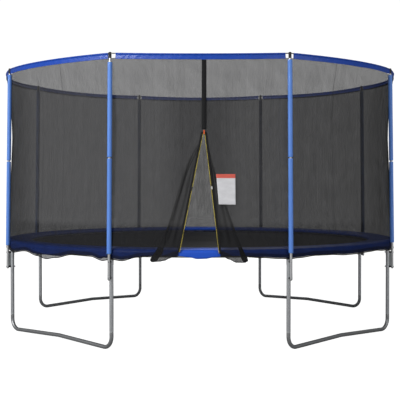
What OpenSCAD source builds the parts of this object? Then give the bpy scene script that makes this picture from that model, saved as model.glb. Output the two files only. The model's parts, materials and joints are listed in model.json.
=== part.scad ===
// Round garden trampoline with padded net poles, a top ring and an unzipped net door.
// Millimetres. The origin is on the floor under the middle of the mat, +Z is up and the
// doorway faces -Y. Azimuths are counted from -Y towards +X, in degrees.

/* [Frame] */
// Radius of the circle through the rail and leg axes
frame_r = 2115.5; // [1800:0.5:2400]
// Height of the rail axis above the floor
rail_z = 880; // [860:1:960]
// Outer diameter of the rail and leg tubes
tube_d = 38; // [34:0.5:42]
// Wall of the rail and leg tubes
tube_wall = 1.5; // [1.2:0.1:2]
// Length of each reduced tube end inside its neighbour
swage_len = 60; // [40:1:80]
// Radial clearance of a tube inside the bore around it
swage_fit = 0.3; // [0.2:0.05:0.4]
// Wall of the leg sockets under the rail
socket_wall = 1.2; // [1:0.1:1.6]
// Reach of the leg sockets below the rail axis
socket_len = 95; // [80:1:120]
// Height where the uprights meet the leg bases
leg_joint_z = 170; // [150:1:260]
// Bend radius of the leg base corners
foot_bend_r = 105; // [80:1:120]
// Rise of each half of a leg base bar, in degrees
foot_slope = 2; // [1:0.1:3]
// Bend radius of the kink in the middle of a leg base bar
foot_kink_r = 250; // [150:5:400]
// Draw-in of the tube where it is bent
bend_draw = 0.15; // [0.1:0.05:0.3]
// Depth of the flats that rest on the floor
foot_flat = 0.3; // [0.2:0.05:0.5]

/* [Poles] */
// Outer diameter of the net poles
pole_d = 25; // [22:0.5:28]
// Wall of the net poles
pole_wall = 1.2; // [1:0.1:1.5]
// Gap between a leg tube and its pole
pole_gap = 16; // [13:0.5:24]
// Inward lean of the poles, in degrees
pole_lean = 0.833; // [0.5:0.01:1.1]
// Height of the rounded lower pole end
pole_bottom_z = 643; // [600:1:645]
// Height where the upper pole enters the lower one
pole_split_z = 1760; // [1500:1:1900]
// Height of the bare pole top
pole_top_z = 2665; // [2500:1:2800]
// Outer diameter of the foam sleeves
foam_d = 44; // [38:0.5:48]
// Height of the lower end of the foam sleeves
foam_bottom_z = 886; // [870:1:900]
// Bare steel between the lower and upper sleeves
foam_gap = 12; // [4:1:30]
// Bare steel between the upper sleeve and the cap
foam_top_gap = 14; // [4:1:40]
// Diameter of the pole caps
cap_d = 28; // [26:0.5:34]
// Height of the pole caps above the pole tops
cap_h = 55; // [50:1:70]
// Diameter of the carriage bolts
bolt_d = 8; // [6:0.5:10]
// Height of the upper bolt of each pole
bolt_high_z = 814; // [800:1:814]
// Height of the lower bolt of each pole
bolt_low_z = 665; // [662:1:700]
// Diameter of the spacers on the bolts
spacer_d = 22; // [18:0.5:24]
// Width of the channel between a pole and its leg
bracket_w = 15; // [12:0.5:18]

/* [Top ring] */
// Diameter of the glass fibre rods
rod_d = 10; // [8:0.5:12]
// Rod axis above the pole tops
rod_rise = 43.5; // [14:0.5:44]
// Bow of a rod's middle beyond the circle through the pole axes
ring_bulge = 0; // [0:1:60]
// Droop of a rod's middle below its ends
rod_sag = 10; // [2:1:30]
// Droop of the rod over the door
door_sag = 30; // [2:1:40]
// Height of the band below the rod axis
band_drop = 48; // [30:1:70]
// Thickness of the hanging part of the band
band_t = 2.5; // [1.5:0.1:4]
// Wall of the band around the rod
band_wall = 1.8; // [1:0.1:3]
// Bare rod between a pole axis and the end of a band
band_gap = 30; // [20:1:60]

/* [Net] */
// Thickness of the net
net_t = 1.6; // [1:0.1:2.5]
// Height of the lower edge of the net
net_bottom_z = 834; // [832:1:845]
// Inset of the net's waist from the rail axis
waist_inset = 17.5; // [5:0.5:40]
// Overlap of the net behind the band
net_overlap = 8; // [5:1:25]
// Clearance between sewn layers
seam_gap = 0.4; // [0.3:0.05:0.6]
// Diameter of the hem cord
hem_d = 6; // [4:0.5:7]

/* [Door] */
// Sideways place of the zip's upper end
door_x = 36; // [0:1:80]
// Height of the zip's upper end
door_z = 2000; // [1900:1:2100]
// Length of the zip tapes
zip_len = 1110; // [900:1:1110]
// Opening angle of the left tape
zip_open_left = 11.2; // [6:0.1:13]
// Opening angle of the right tape
zip_open_right = 6.8; // [4:0.1:9]
// Sideways reach of the left flap at the lower edge
flap_reach_left = 446; // [380:1:520]
// Sideways reach of the right flap at the lower edge
flap_reach_right = 384; // [320:1:460]
// Depth of the folds in the flaps
fold_depth = 14; // [5:1:25]
// Sag of the flaps' lower edges
hem_sag = 14; // [5:1:30]
// Width of a zip tape
tape_w = 24; // [18:1:32]
// Thickness of the tapes and the strap
tape_t = 2; // [1:0.1:3]
// Width of the strap above the zip
strap_w = 42; // [30:1:60]
// Width of the blank patch
patch_w = 174; // [120:1:200]
// Height of the blank patch
patch_h = 275; // [150:1:300]
// Height of the middle of the blank patch
patch_z = 1473; // [1400:1:1600]

/* [Bed] */
// Springs on each of the eight rails
rail_springs = 12; // [8:1:12]
// Length of the spring coils
coil_len = 142; // [120:1:160]
// Outer diameter of the spring coils
coil_d = 22; // [18:0.5:24]
// Wire diameter of the springs
wire_d = 3.2; // [2.5:0.1:3.6]
// Bend radius of the spring hooks
hook_r = 9; // [8:0.5:10]
// Wire diameter of the V-rings
vring_d = 4; // [3:0.5:4.5]
// Width of the V-rings at the mat
vring_w = 40; // [30:1:50]
// Thickness of the mat
mat_t = 2; // [1:0.1:3]
// Width of the sewn rim band
rim_w = 50; // [40:1:70]
// Thickness of the sewn rim band
rim_t = 6; // [5:0.5:8]
// Width of the spring pad
pad_w = 257.5; // [240:0.5:290]
// Thickness of the spring pad at its edges
pad_t = 18; // [14:1:26]
// Crown of the spring pad above its edges
pad_crown = 6; // [2:0.5:14]
// Height of the lower edge of the pad's skirt
skirt_z = 846; // [845:1:865]
// Thickness of the pad's skirt
skirt_t = 1.6; // [1:0.1:2]

/* [Hidden] */
$fn = 48;
SIDES = [1, 2, 3, 4, 5, 6, 7, 8];
BASES = [1, 2, 3, 4];

function lerp(a, b, t) = a + (b - a) * t;

// Places on the circle
bay_deg = 45;
half_bay = bay_deg / 2;
function side_az(i) = half_bay + bay_deg * (i - 1);
function base_az(i) = bay_deg * (2 * i - 1);

// Frame
tube_r = tube_d / 2;
bore_r = tube_r - tube_wall;
swage_r = bore_r - swage_fit;
swage_cone = 8;
socket_bore_r = tube_r + swage_fit;
socket_r = socket_bore_r + socket_wall;
rail_top_z = rail_z + tube_r;
upright_top_z = rail_z - tube_r - 5;
foot_z = tube_r - foot_flat;
half_chord = frame_r * sin(half_bay);
chord_y = -frame_r * cos(half_bay);
screw_d = 4.8;
screw_fit = 0.2;
screw_inset = swage_len / 2;
slot_d = wire_d + 4.3;
slot_in = 12.5;

// Poles
pole_r0 = pole_d / 2;
pole_bore_r = pole_r0 - pole_wall;
mount_z = (bolt_high_z + bolt_low_z) / 2;
pole_mount_r = frame_r + tube_r + pole_gap + pole_r0;
function pole_axis_r(z) = pole_mount_r - (z - mount_z) * tan(pole_lean);
bolt_hole_d = bolt_d + 0.6;
bolt_head_d = 2.2 * bolt_d;
bolt_head_h = 0.5 * bolt_d;
nut_d = 1.8 * bolt_d;
nut_h = 0.8 * bolt_d;
bracket_wall = 1.5;
foam_fit = 0.2;

// Ring
ring_z = pole_top_z + rod_rise;
ring_pole_r = pole_axis_r(ring_z);
ring_half_chord = ring_pole_r * sin(half_bay);
ring_chord_r = ring_pole_r * cos(half_bay);
ring_sagitta = ring_pole_r + ring_bulge - ring_chord_r;
arc_r = (ring_half_chord ^ 2 + ring_sagitta ^ 2) / (2 * ring_sagitta);
arc_offset = ring_pole_r + ring_bulge - arc_r;
arc_half = asin(ring_half_chord / arc_r);
rod_fit = 0.2;
rod_end_gap = 2;
band_bottom_z = ring_z - band_drop;
// Turn of a bay's rod about its chord, which lets its middle droop
function rod_tilt(mid_az) = asin((mid_az % 360 == 0 ? door_sag : rod_sag) / ring_sagitta);
// Radius of the rods' axis at an azimuth
function ring_r(az) =
    let (mid = bay_deg * round(az / bay_deg), rel = az - mid, chord = ring_chord_r / cos(rel))
        lerp(chord, arc_offset * cos(rel) + sqrt(arc_r ^ 2 - (arc_offset * sin(rel)) ^ 2),
             cos(rod_tilt(mid)));

// Bed
slot_r = frame_r - slot_in;
hook_z = rail_top_z - wire_d / 2 - hook_r;
coil_z = hook_z - 4;
hook_root = wire_d / 2 + 0.2;
hook_over = 25;
coil_out_r = slot_r - 2 * hook_r + hook_root;
coil_in_r = coil_out_r - coil_len;
ring_hook_r = coil_in_r - 2 * hook_r + hook_root;
ring_tip_r = ring_hook_r + hook_r * (1 - cos(hook_over));
vring_tip_r = ring_tip_r + (wire_d + vring_d) / 2 + seam_gap;
vring_len = 36;
rim_r = vring_tip_r - 24;
rim_slot_r = rim_r - rim_w / 2;
vring_base_r = vring_tip_r - vring_len;
spring_step = bay_deg / rail_springs;

// Pad
pad_bottom_z = rail_top_z + 0.3;
skirt_in_r = frame_r + socket_r + 0.2;
skirt_r = skirt_in_r + skirt_t;
pad_r = skirt_in_r + skirt_t / 2;
pad_in_r = pad_r - pad_w;
pad_top_z = pad_bottom_z + pad_t + pad_crown;

// Net: outer radius at any azimuth and height
cell_deg = bay_deg / 12;
knee_z = pad_top_z + 12;
low_r = (skirt_r + seam_gap) / cos(cell_deg / 2) + net_t;
waist_r = frame_r - waist_inset;
net_top_z = band_bottom_z + net_overlap;
function bay_rel(az) = az - bay_deg * round(az / bay_deg);
function net_tied_r() = pole_axis_r(net_top_z) - foam_d / 2 - 2;
function net_head_r(az) =
    abs(bay_rel(az)) > half_bay - 0.1 ? net_tied_r() : ring_r(az) - band_t / 2 - seam_gap;
function net_r(az, z) =
    z <= knee_z ? low_r :
    z <= door_z ? lerp(low_r, waist_r, (z - knee_z) / (door_z - knee_z)) :
    lerp(waist_r, net_head_r(az), ((z - door_z) / (net_top_z - door_z)) ^ 1.5);
function net_rows() = concat(
    [net_bottom_z],
    [for (i = [0:3]) lerp(knee_z, door_z, i / 3)],
    [for (i = [1:4]) lerp(door_z, net_top_z, i / 4)]
);
function net_point(az, z, depth) =
    [(net_r(az, z) - depth) * sin(az), -(net_r(az, z) - depth) * cos(az), z];

// Door: a leaning plane that the tapes, slider and buckles lie on
door_slope = (low_r - waist_r) / (door_z - knee_z);
door_tilt = atan(door_slope);
function door_y(z) = -(waist_r + (door_z - z) * door_slope);
flap_top_z = door_z - 100;
fold_top_z = patch_z - patch_h / 2 - 30;
fold_start = 0.15;
slider_w = 16;
slider_h = 20;
slider_t = 5;
pull_pin_d = 3;
pull_pin_fit = 0.1;
teeth_t = 1.2;
slider_gap = 0.3;
buckle_gap = 0.2;
slider_face_y = -seam_gap - tape_t - teeth_t - slider_gap;
lug_r = pull_pin_d / 2 + 1.5;
pin_y = slider_face_y - slider_t - lug_r;
pull_w = 12;
pull_len = 34;
pull_t = 2;
lug_t = 2;
lug_gap = 0.3;
buckle_z = -530;
buckle_w = 14;
buckle_t = 8;

// ---- Shared shapes ----

// A point at the given azimuth and radius
module at(az, r, z) {
    rotate([0, 0, az]) translate([0, -r, z]) children();
}

// Straight tube along +Z
module pipe(r, wall, h) {
    difference() {
        cylinder(r = r, h = h);
        translate([0, 0, -1]) cylinder(r = r - wall, h = h + 2);
    }
}

// Tapered tube along +Z
module cone_pipe(r1, r2, wall, h) {
    difference() {
        cylinder(r1 = r1, r2 = r2, h = h);
        cylinder(r1 = r1 - wall, r2 = r2 - wall, h = h);
    }
}

// Bent tube in the XY plane, from angle a over the given turn
module bend(bend_r, a, turn, r, wall, steps = 96) {
    rotate([0, 0, a])
        rotate_extrude(angle = turn, $fn = steps)
            translate([bend_r, 0])
                difference() {
                    circle(r = r);
                    if (wall > 0) circle(r = r - wall);
                }
}

// Frame of a pole: its Z runs along the leaning pole axis
module on_pole(az) {
    at(az, pole_mount_r, mount_z)
        rotate([-pole_lean, 0, 0])
            translate([0, 0, -mount_z])
                children();
}

// Radial cylinder that starts at radius r1 and ends at radius r2
module radial(az, z, d, r1, r2) {
    at(az, r2, z) rotate([-90, 0, 0]) cylinder(d = d, h = r2 - r1);
}

// Closed sheet between two grids of points with the same rows and columns
module sheet(front, back) {
    rows = len(front);
    cols = len(front[0]);
    points = concat([for (row = front) each row], [for (row = back) each row]);
    far = rows * cols;
    faces = concat(
        [for (j = [0:rows - 2], i = [0:cols - 2])
            each quad(j * cols + i, j * cols + i + 1, (j + 1) * cols + i + 1, (j + 1) * cols + i)],
        [for (j = [0:rows - 2], i = [0:cols - 2])
            each quad(far + j * cols + i, far + (j + 1) * cols + i,
                      far + (j + 1) * cols + i + 1, far + j * cols + i + 1)],
        [for (i = [0:cols - 2])
            each quad(i + 1, i, far + i, far + i + 1)],
        [for (i = [0:cols - 2])
            each quad((rows - 1) * cols + i, (rows - 1) * cols + i + 1,
                      far + (rows - 1) * cols + i + 1, far + (rows - 1) * cols + i)],
        [for (j = [0:rows - 2])
            each quad(j * cols, (j + 1) * cols, far + (j + 1) * cols, far + j * cols)],
        [for (j = [0:rows - 2])
            each quad((j + 2) * cols - 1, (j + 1) * cols - 1,
                      far + (j + 1) * cols - 1, far + (j + 2) * cols - 1)]
    );
    polyhedron(points = points, faces = faces, convexity = 6);
}
function quad(a, b, c, d) = [[c, b, a], [d, c, a]];

// ---- Frame ----

// Curved rail with a leg socket, spring holes and one reduced end
module top_rail(i) {
    swage_deg = swage_len / frame_r * 180 / PI;
    collar_deg = 0.2;
    over_deg = 0.1;
    screw_deg = screw_inset / frame_r * 180 / PI;
    start = -90 - half_bay;
    color("silver")
        rotate([0, 0, side_az(i)])
            difference() {
                union() {
                    translate([0, 0, rail_z]) {
                        bend(frame_r, start, bay_deg, tube_r, 0);
                        bend(frame_r, start + bay_deg / 2, bay_deg / 2 + swage_deg, swage_r, 0);
                    }
                    at(0, frame_r, rail_z - socket_len) cylinder(r = socket_r, h = socket_len);
                }
                translate([0, 0, rail_z]) {
                    bend(frame_r, start - over_deg, bay_deg + over_deg - collar_deg, bore_r, 0);
                    bend(frame_r, start + bay_deg / 2, bay_deg / 2 + swage_deg + over_deg,
                         swage_r - tube_wall, 0);
                }
                at(0, frame_r, rail_z - socket_len - 1)
                    cylinder(r = socket_bore_r, h = socket_len - tube_r);
                for (k = [0:rail_springs - 1])
                    at((k - (rail_springs - 1) / 2) * spring_step, slot_r, rail_z)
                        cylinder(d = slot_d, h = tube_d);
                radial(0, bolt_high_z, bolt_hole_d, frame_r - tube_d, frame_r + tube_d);
                for (a = [-half_bay, half_bay])
                    at(a + screw_deg, frame_r, rail_z - tube_d)
                        cylinder(d = screw_d + 2 * screw_fit, h = tube_d);
            }
}

// Run of a leg base: ends, corners and kinked bar as one rod of the given radius
module base_run(r, end_r, end_extra) {
    corner_z = foot_z + foot_bend_r;
    corner_x = half_chord - foot_bend_r;
    bar_x = corner_x - foot_bend_r * sin(foot_slope);
    bar_z = corner_z - foot_bend_r * cos(foot_slope);
    kink_x = foot_kink_r * sin(foot_slope);
    kink_z = bar_z + (bar_x - kink_x) * tan(foot_slope);
    bar_len = (bar_x - kink_x) / cos(foot_slope);
    cone_z = leg_joint_z - swage_cone;
    lap = 0.5;
    for (side = [-1, 1]) {
        translate([side * half_chord, 0, corner_z - lap])
            cylinder(r = r, h = cone_z - corner_z + lap);
        translate([side * half_chord, 0, cone_z])
            cylinder(r1 = r, r2 = end_r, h = swage_cone);
        translate([side * half_chord, 0, leg_joint_z])
            cylinder(r = end_r, h = swage_len + end_extra);
        translate([side * bar_x, 0, bar_z])
            rotate([0, side * (foot_slope - 90), 0])
                translate([0, 0, -lap])
                    cylinder(r = r, h = bar_len + 2 * lap);
    }
    translate([corner_x, 0, corner_z])
        rotate([90, 0, 0]) bend(foot_bend_r, -90 - foot_slope, 90 + foot_slope, r - bend_draw, 0);
    translate([-corner_x, 0, corner_z])
        rotate([90, 0, 0]) bend(foot_bend_r, 180, 90 + foot_slope, r - bend_draw, 0);
    translate([0, 0, kink_z - foot_kink_r * cos(foot_slope)])
        rotate([90, 0, 0])
            bend(foot_kink_r, 90 - foot_slope, 2 * foot_slope, r - bend_draw, 0);
}

// W-shaped base of two legs: two reduced ends, two corners and a kinked bar
module leg_base(i) {
    color("gray")
        rotate([0, 0, base_az(i)])
            translate([0, chord_y, 0])
                difference() {
                    base_run(tube_r, swage_r, 0);
                    base_run(bore_r, swage_r - tube_wall, 1);
                    translate([-half_chord, -tube_d, -tube_d])
                        cube([2 * half_chord, 2 * tube_d, tube_d]);
                }
}

// Straight upright between a leg base and a rail socket
module leg_upright(i) {
    az = side_az(i);
    color("lightgray")
        difference() {
            at(az, frame_r, leg_joint_z)
                pipe(tube_r, tube_wall, upright_top_z - leg_joint_z);
            for (z = [bolt_low_z, bolt_high_z])
                radial(az, z, bolt_hole_d, frame_r - tube_d, frame_r + tube_d);
        }
}

// Screws that lock the reduced rail ends, from below
module rail_screws() {
    screw_deg = screw_inset / frame_r * 180 / PI;
    reach = tube_wall + swage_fit + tube_wall + 3;
    color("dimgray")
        for (i = SIDES)
            at(side_az(i) + half_bay + screw_deg, frame_r, rail_z - tube_r) {
                cylinder(d = screw_d, h = reach);
                translate([0, 0, -3]) cylinder(d = 2 * screw_d, h = 3);
            }
}

// ---- Net poles ----

// Lower pole with a rounded end and upper pole with a reduced end
module pole(i) {
    az = side_az(i);
    inner_r = pole_bore_r - swage_fit;
    color("lightgray")
        difference() {
            on_pole(az) {
                translate([0, 0, pole_bottom_z + pole_r0])
                    pipe(pole_r0, pole_wall, pole_split_z - pole_bottom_z - pole_r0);
                translate([0, 0, pole_bottom_z + pole_r0])
                    difference() {
                        sphere(r = pole_r0);
                        sphere(r = pole_bore_r);
                        cylinder(r = pole_d, h = pole_d);
                    }
                translate([0, 0, pole_split_z - swage_len])
                    pipe(inner_r, pole_wall, swage_len);
                translate([0, 0, pole_split_z])
                    cone_pipe(inner_r, pole_r0, pole_wall, swage_cone);
                translate([0, 0, pole_split_z + swage_cone])
                    pipe(pole_r0, pole_wall, pole_top_z - pole_split_z - swage_cone);
            }
            for (z = [bolt_low_z, bolt_high_z])
                radial(az, z, bolt_hole_d, frame_r, pole_mount_r + pole_d);
        }
}

// Foam tube around a pole, pressed flat where the net passes behind it
module foam_sleeve(az, z1, z2) {
    difference() {
        on_pole(az)
            translate([0, 0, z1])
                pipe(foam_d / 2, foam_d / 2 - pole_r0 - foam_fit, z2 - z1);
        translate([0, 0, net_bottom_z])
            cylinder(r = low_r + seam_gap, h = knee_z - net_bottom_z, $fn = 192);
        translate([0, 0, knee_z])
            cylinder(r1 = low_r + seam_gap, r2 = waist_r + seam_gap, h = door_z - knee_z, $fn = 192);
    }
}

module foam_sleeves_lower() {
    color("cornflowerblue")
        for (i = SIDES)
            foam_sleeve(side_az(i), foam_bottom_z, pole_split_z - foam_gap / 2);
}

module foam_sleeves_upper() {
    color("cornflowerblue")
        for (i = SIDES)
            foam_sleeve(side_az(i), pole_split_z + foam_gap / 2, pole_top_z - foam_top_gap);
}

// Caps plugged into the poles, with a blind bore for each of the two rods that meet there
module pole_caps() {
    plug_len = 30;
    chamfer = 5;
    color("black")
        for (i = SIDES)
            difference() {
                on_pole(side_az(i)) {
                    translate([0, 0, pole_top_z - plug_len])
                        cylinder(r = pole_bore_r - foam_fit, h = plug_len);
                    translate([0, 0, pole_top_z])
                        cylinder(d = cap_d, h = cap_h - chamfer);
                    translate([0, 0, pole_top_z + cap_h - chamfer])
                        cylinder(d1 = cap_d, d2 = cap_d - 2 * chamfer, h = chamfer);
                }
                for (side = [-1, 1])
                    rod(side_az(i) + side * half_bay, rod_d + 2 * rod_fit, rod_end_gap / 2);
            }
}

// Pole and leg tube beside one bolt, as cutting solids
module leg_solid(az, z) {
    at(az, frame_r, z - 2 * spacer_d)
        cylinder(r = z > rail_z - socket_len ? socket_r : tube_r, h = 4 * spacer_d);
}

module pole_solid(az) {
    on_pole(az) translate([0, 0, pole_bottom_z]) cylinder(d = pole_d, h = rail_z - pole_bottom_z);
}

// Plastic spacers that seat on the leg and on the pole
module pole_spacers() {
    color("black")
        for (i = SIDES, z = [bolt_low_z, bolt_high_z])
            difference() {
                radial(side_az(i), z, spacer_d, frame_r + bore_r, pole_mount_r);
                leg_solid(side_az(i), z);
                pole_solid(side_az(i));
                radial(side_az(i), z, bolt_hole_d, frame_r, pole_mount_r);
            }
}

// Open steel channel between a pole and its leg, from spacer to spacer
module pole_brackets() {
    web_z = bolt_high_z - bolt_low_z;
    flange_y = pole_gap / 2 - 2;
    color("gray")
        for (i = SIDES)
            difference() {
                at(side_az(i), frame_r + tube_r + pole_gap / 2, bolt_low_z)
                    difference() {
                        translate([-bracket_w / 2, -pole_gap, 0])
                            cube([bracket_w, 2 * pole_gap, web_z]);
                        translate([-bracket_w / 2 + bracket_wall, -flange_y, -1])
                            cube([bracket_w, 2 * flange_y, web_z + 2]);
                    }
                for (z = [bolt_low_z, bolt_high_z])
                    radial(side_az(i), z, spacer_d, frame_r, pole_mount_r);
                at(side_az(i), frame_r, bolt_low_z) cylinder(r = tube_r, h = web_z);
                leg_solid(side_az(i), bolt_high_z);
                pole_solid(side_az(i));
            }
}

// Carriage bolts from the pole through spacer and leg
module pole_bolts() {
    color("silver")
        for (i = SIDES, z = [bolt_low_z, bolt_high_z]) {
            head_r = pole_axis_r(z) + pole_r0;
            radial(side_az(i), z, bolt_d, frame_r - socket_r - nut_h, head_r);
            at(side_az(i), head_r, z)
                rotate([90, 0, 0])
                    cylinder(d1 = bolt_head_d, d2 = bolt_d, h = bolt_head_h);
        }
}

// Cap nuts on the inner side of the legs
module pole_nuts() {
    color("silver")
        for (i = SIDES, z = [bolt_low_z, bolt_high_z]) {
            seat_r = frame_r - (z > rail_z - socket_len ? socket_r : tube_r);
            difference() {
                union() {
                    radial(side_az(i), z, nut_d, seat_r - nut_h, seat_r);
                    at(side_az(i), seat_r - nut_h, z)
                        rotate([-90, 0, 0])
                            cylinder(d1 = 0.8 * nut_d, d2 = 0.4 * nut_d, h = nut_h);
                }
                radial(side_az(i), z, bolt_d, frame_r - socket_r - nut_h, frame_r);
            }
        }
}

// ---- Top ring ----

// Frame of one bay's rod, with the middle of its arc as origin
module on_rod(mid_az) {
    rotate([0, 0, mid_az])
        translate([0, -ring_chord_r, ring_z])
            rotate([rod_tilt(mid_az), 0, 0])
                translate([0, ring_chord_r - arc_offset, 0])
                    children();
}

// Rod or rod-shaped cut of one bay, shortened at both ends by the given length
module rod(mid_az, d, short) {
    half = arc_half - short / arc_r * 180 / PI;
    on_rod(mid_az) bend(arc_r, -90 - half, 2 * half, d / 2, 0, 384);
}

module ring_rods() {
    color("dimgray")
        for (i = SIDES) rod(side_az(i) + half_bay, rod_d, rod_end_gap);
}

// Sewn band: a sleeve around the rod with an edge that hangs straight down
module ring_bands() {
    half = arc_half - band_gap / arc_r * 180 / PI;
    sleeve_r = rod_d / 2 + rod_fit;
    color("blue")
        for (i = SIDES)
            on_rod(side_az(i) + half_bay)
                rotate([0, 0, -90 - half])
                    rotate_extrude(angle = 2 * half, $fn = 384)
                        translate([arc_r, 0])
                            difference() {
                                union() {
                                    circle(r = sleeve_r + band_wall);
                                    rotate(rod_tilt(side_az(i) + half_bay))
                                        translate([-band_t / 2, -band_drop])
                                            square([band_t, band_drop]);
                                }
                                circle(r = sleeve_r);
                            }
}

// ---- Net ----

// Net between two azimuths
module net_bays(az1, az2) {
    cells = round((az2 - az1) / cell_deg);
    rows = net_rows();
    color("black")
        sheet([for (z = rows) [for (i = [0:cells]) net_point(lerp(az1, az2, i / cells), z, 0)]],
              [for (z = rows) [for (i = [0:cells]) net_point(lerp(az1, az2, i / cells), z, net_t)]]);
}

// Azimuth of the slanting edge that a flap hangs from
function edge_x(reach, z) =
    door_x + (z < door_z ? (door_z - z) / (door_z - net_bottom_z) * reach : 0);
function edge_az(reach, z) = asin(edge_x(reach, z) / net_r(0.1, z));

// Fixed net of the front bay beside the door, from the pole to the slanting edge
module net_front(pole_side, reach) {
    cells = 6;
    rows = net_rows();
    gap_deg = -pole_side * seam_gap / frame_r * 90 / PI;
    front = [for (z = rows) [for (i = [0:cells])
        net_point(lerp(pole_side * half_bay, edge_az(reach, z) - gap_deg, i / cells), z, 0)]];
    back = [for (z = rows) [for (i = [0:cells])
        net_point(lerp(pole_side * half_bay, edge_az(reach, z) - gap_deg, i / cells), z, net_t)]];
    color("black")
        if (pole_side < 0) sheet(front, back);
        else sheet(back, front);
}

// Elastic cord in the lower hem, open at the door
module net_hem_cord() {
    right = edge_az(flap_reach_right, net_bottom_z);
    left = edge_az(-flap_reach_left, net_bottom_z);
    color("black")
        translate([0, 0, net_bottom_z - hem_d / 2])
            bend(low_r - net_t / 2, right - 90, 360 + left - right, hem_d / 2, 0, 384);
}

// ---- Door ----

// Frame of the door plane: the origin is the zip's upper end, -Z runs down the door
module on_door() {
    translate([door_x, door_y(door_z), door_z]) rotate([-door_tilt, 0, 0]) children();
}

// One point of a loose flap; u runs from the tape to the slanting edge
function flap_point(open_deg, reach, u, v, depth) =
    let (
        side = sign(reach),
        sag = hem_sag * sin(180 * u) * (v < 0.01 ? 1 : 0),
        z = lerp(net_bottom_z, flap_top_z, v),
        drop = door_z - z,
        tape_x = door_x + side * (drop * tan(open_deg) + tape_w / 2),
        far_x = edge_x(reach, z) - side * 2 * seam_gap,
        far_y = -sqrt(net_r(0.1, z) ^ 2 - far_x ^ 2),
        s = u * u * (3 - 2 * u),
        w = max(0, (u - fold_start) / (1 - fold_start)),
        fold = fold_depth * max(0, (fold_top_z - z) / (fold_top_z - net_bottom_z))
    )
    [lerp(tape_x, far_x, u),
     lerp(door_y(z), far_y, s) - fold * (1 - cos(720 * w)) / 2 + depth,
     z - sag];

// Loose net between a zip tape and the slanting edge, with two folds
module flap(open_deg, reach) {
    cols = 12;
    rows = 6;
    front = [for (j = [0:rows]) [for (i = [0:cols])
        flap_point(open_deg, reach, i / cols, j / rows, 0)]];
    back = [for (j = [0:rows]) [for (i = [0:cols])
        flap_point(open_deg, reach, i / cols, j / rows, net_t)]];
    color("black")
        if (reach > 0) sheet(front, back);
        else sheet(back, front);
}

// Tape with its teeth along the inner edge
module zip_tape(side, open_deg) {
    start = 16;
    teeth_w = 5;
    color("gold")
        on_door()
            rotate([0, -side * open_deg, 0])
                mirror([side < 0 ? 1 : 0, 0, 0]) {
                    translate([0.5, -seam_gap - tape_t, -zip_len])
                        cube([tape_w, tape_t, zip_len - start]);
                    translate([0.5, -seam_gap - tape_t - teeth_t, -zip_len])
                        cube([teeth_w, teeth_t, zip_len - start]);
                }
}

// Slider in front of the teeth, with two lugs and a pin
module zip_slider() {
    span = pull_w + 2 * lug_gap + 2 * lug_t;
    color("dimgray")
        on_door() {
            translate([-slider_w / 2, slider_face_y - slider_t, -slider_h / 2])
                cube([slider_w, slider_t, slider_h]);
            for (side = [-1, 1])
                translate([side * (span - lug_t) / 2, 0, 0]) {
                    translate([0, pin_y, 0])
                        rotate([0, 90, 0]) cylinder(r = lug_r, h = lug_t, center = true);
                    translate([-lug_t / 2, pin_y, -lug_r])
                        cube([lug_t, lug_r + slider_t / 2, 2 * lug_r]);
                }
            translate([0, pin_y, 0])
                rotate([0, 90, 0]) cylinder(d = pull_pin_d, h = span, center = true);
        }
}

// Pull tab on the slider's pin
module zip_pull() {
    eye_r = pull_pin_d / 2 + 1.4;
    color("orangered")
        on_door()
            translate([0, pin_y, 0])
                difference() {
                    union() {
                        rotate([0, 90, 0]) cylinder(r = eye_r, h = pull_w, center = true);
                        translate([-pull_w / 2, -pull_t / 2, -pull_len])
                            cube([pull_w, pull_t, pull_len]);
                        translate([0, pull_t / 2, -pull_len])
                            rotate([90, 0, 0]) cylinder(d = pull_w, h = pull_t);
                    }
                    rotate([0, 90, 0])
                        cylinder(d = pull_pin_d + 2 * pull_pin_fit, h = 2 * pull_w, center = true);
                }
}

// Place of a buckle half on a zip tape
module on_tape(side, open_deg) {
    on_door()
        rotate([0, -side * open_deg, 0])
            mirror([side < 0 ? 1 : 0, 0, 0])
                translate([1 + buckle_w / 2, -seam_gap - tape_t - teeth_t - buckle_gap, buckle_z])
                    children();
}

// Buckle half with two prongs
module buckle_plug() {
    prong_w = 3;
    color("black")
        on_tape(-1, zip_open_left) {
            translate([-buckle_w / 2, -buckle_t, 0]) cube([buckle_w, buckle_t, 16]);
            for (x = [-buckle_w / 2, -prong_w / 2, buckle_w / 2 - prong_w])
                translate([x, -buckle_t + 2, -18]) cube([prong_w, buckle_t - 4, 18]);
        }
}

// Buckle half with a slot for the prongs
module buckle_socket() {
    wall = 2;
    depth = 20;
    color("lightgray")
        on_tape(1, zip_open_right)
            difference() {
                translate([-buckle_w / 2, -buckle_t, 0]) cube([buckle_w, buckle_t, 26]);
                translate([-buckle_w / 2 + wall, -buckle_t + wall, -1])
                    cube([buckle_w - 2 * wall, buckle_t - 2 * wall, depth + 1]);
            }
}

// Webbing strap from the band down to the zip
module door_strap() {
    low_z = door_z + slider_h / 2 + 2;
    top_z = band_bottom_z - door_sag - 1;
    top_r = net_r(1, top_z);
    rise = top_z - door_z;
    lean = atan((top_r - waist_r) / rise);
    color("black")
        translate([door_x, -waist_r - seam_gap, door_z])
            rotate([lean, 0, 0])
                translate([-strap_w / 2, -tape_t, low_z - door_z])
                    cube([strap_w, tape_t, (top_z - low_z) / cos(lean)]);
}

// Blank patch sewn to the front net above the right flap's fold
module door_patch() {
    patch_t = 1.2;
    left_x = door_x + (door_z - patch_z) * tan(zip_open_right) + tape_w + 22;
    lift = -door_y(patch_z) - seam_gap;
    turn = 6.2;
    color("white")
        translate([left_x, -lift, patch_z])
            rotate([0, 0, turn])
                rotate([-door_tilt, 0, 0])
                    translate([0, -patch_t, -patch_h / 2])
                        cube([patch_w, patch_t, patch_h]);
}

// ---- Bed ----

module jump_mat() {
    color("#181818")
        translate([0, 0, coil_z - mat_t / 2])
            cylinder(r = rim_slot_r - 0.2, h = mat_t, $fn = 192);
}

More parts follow.
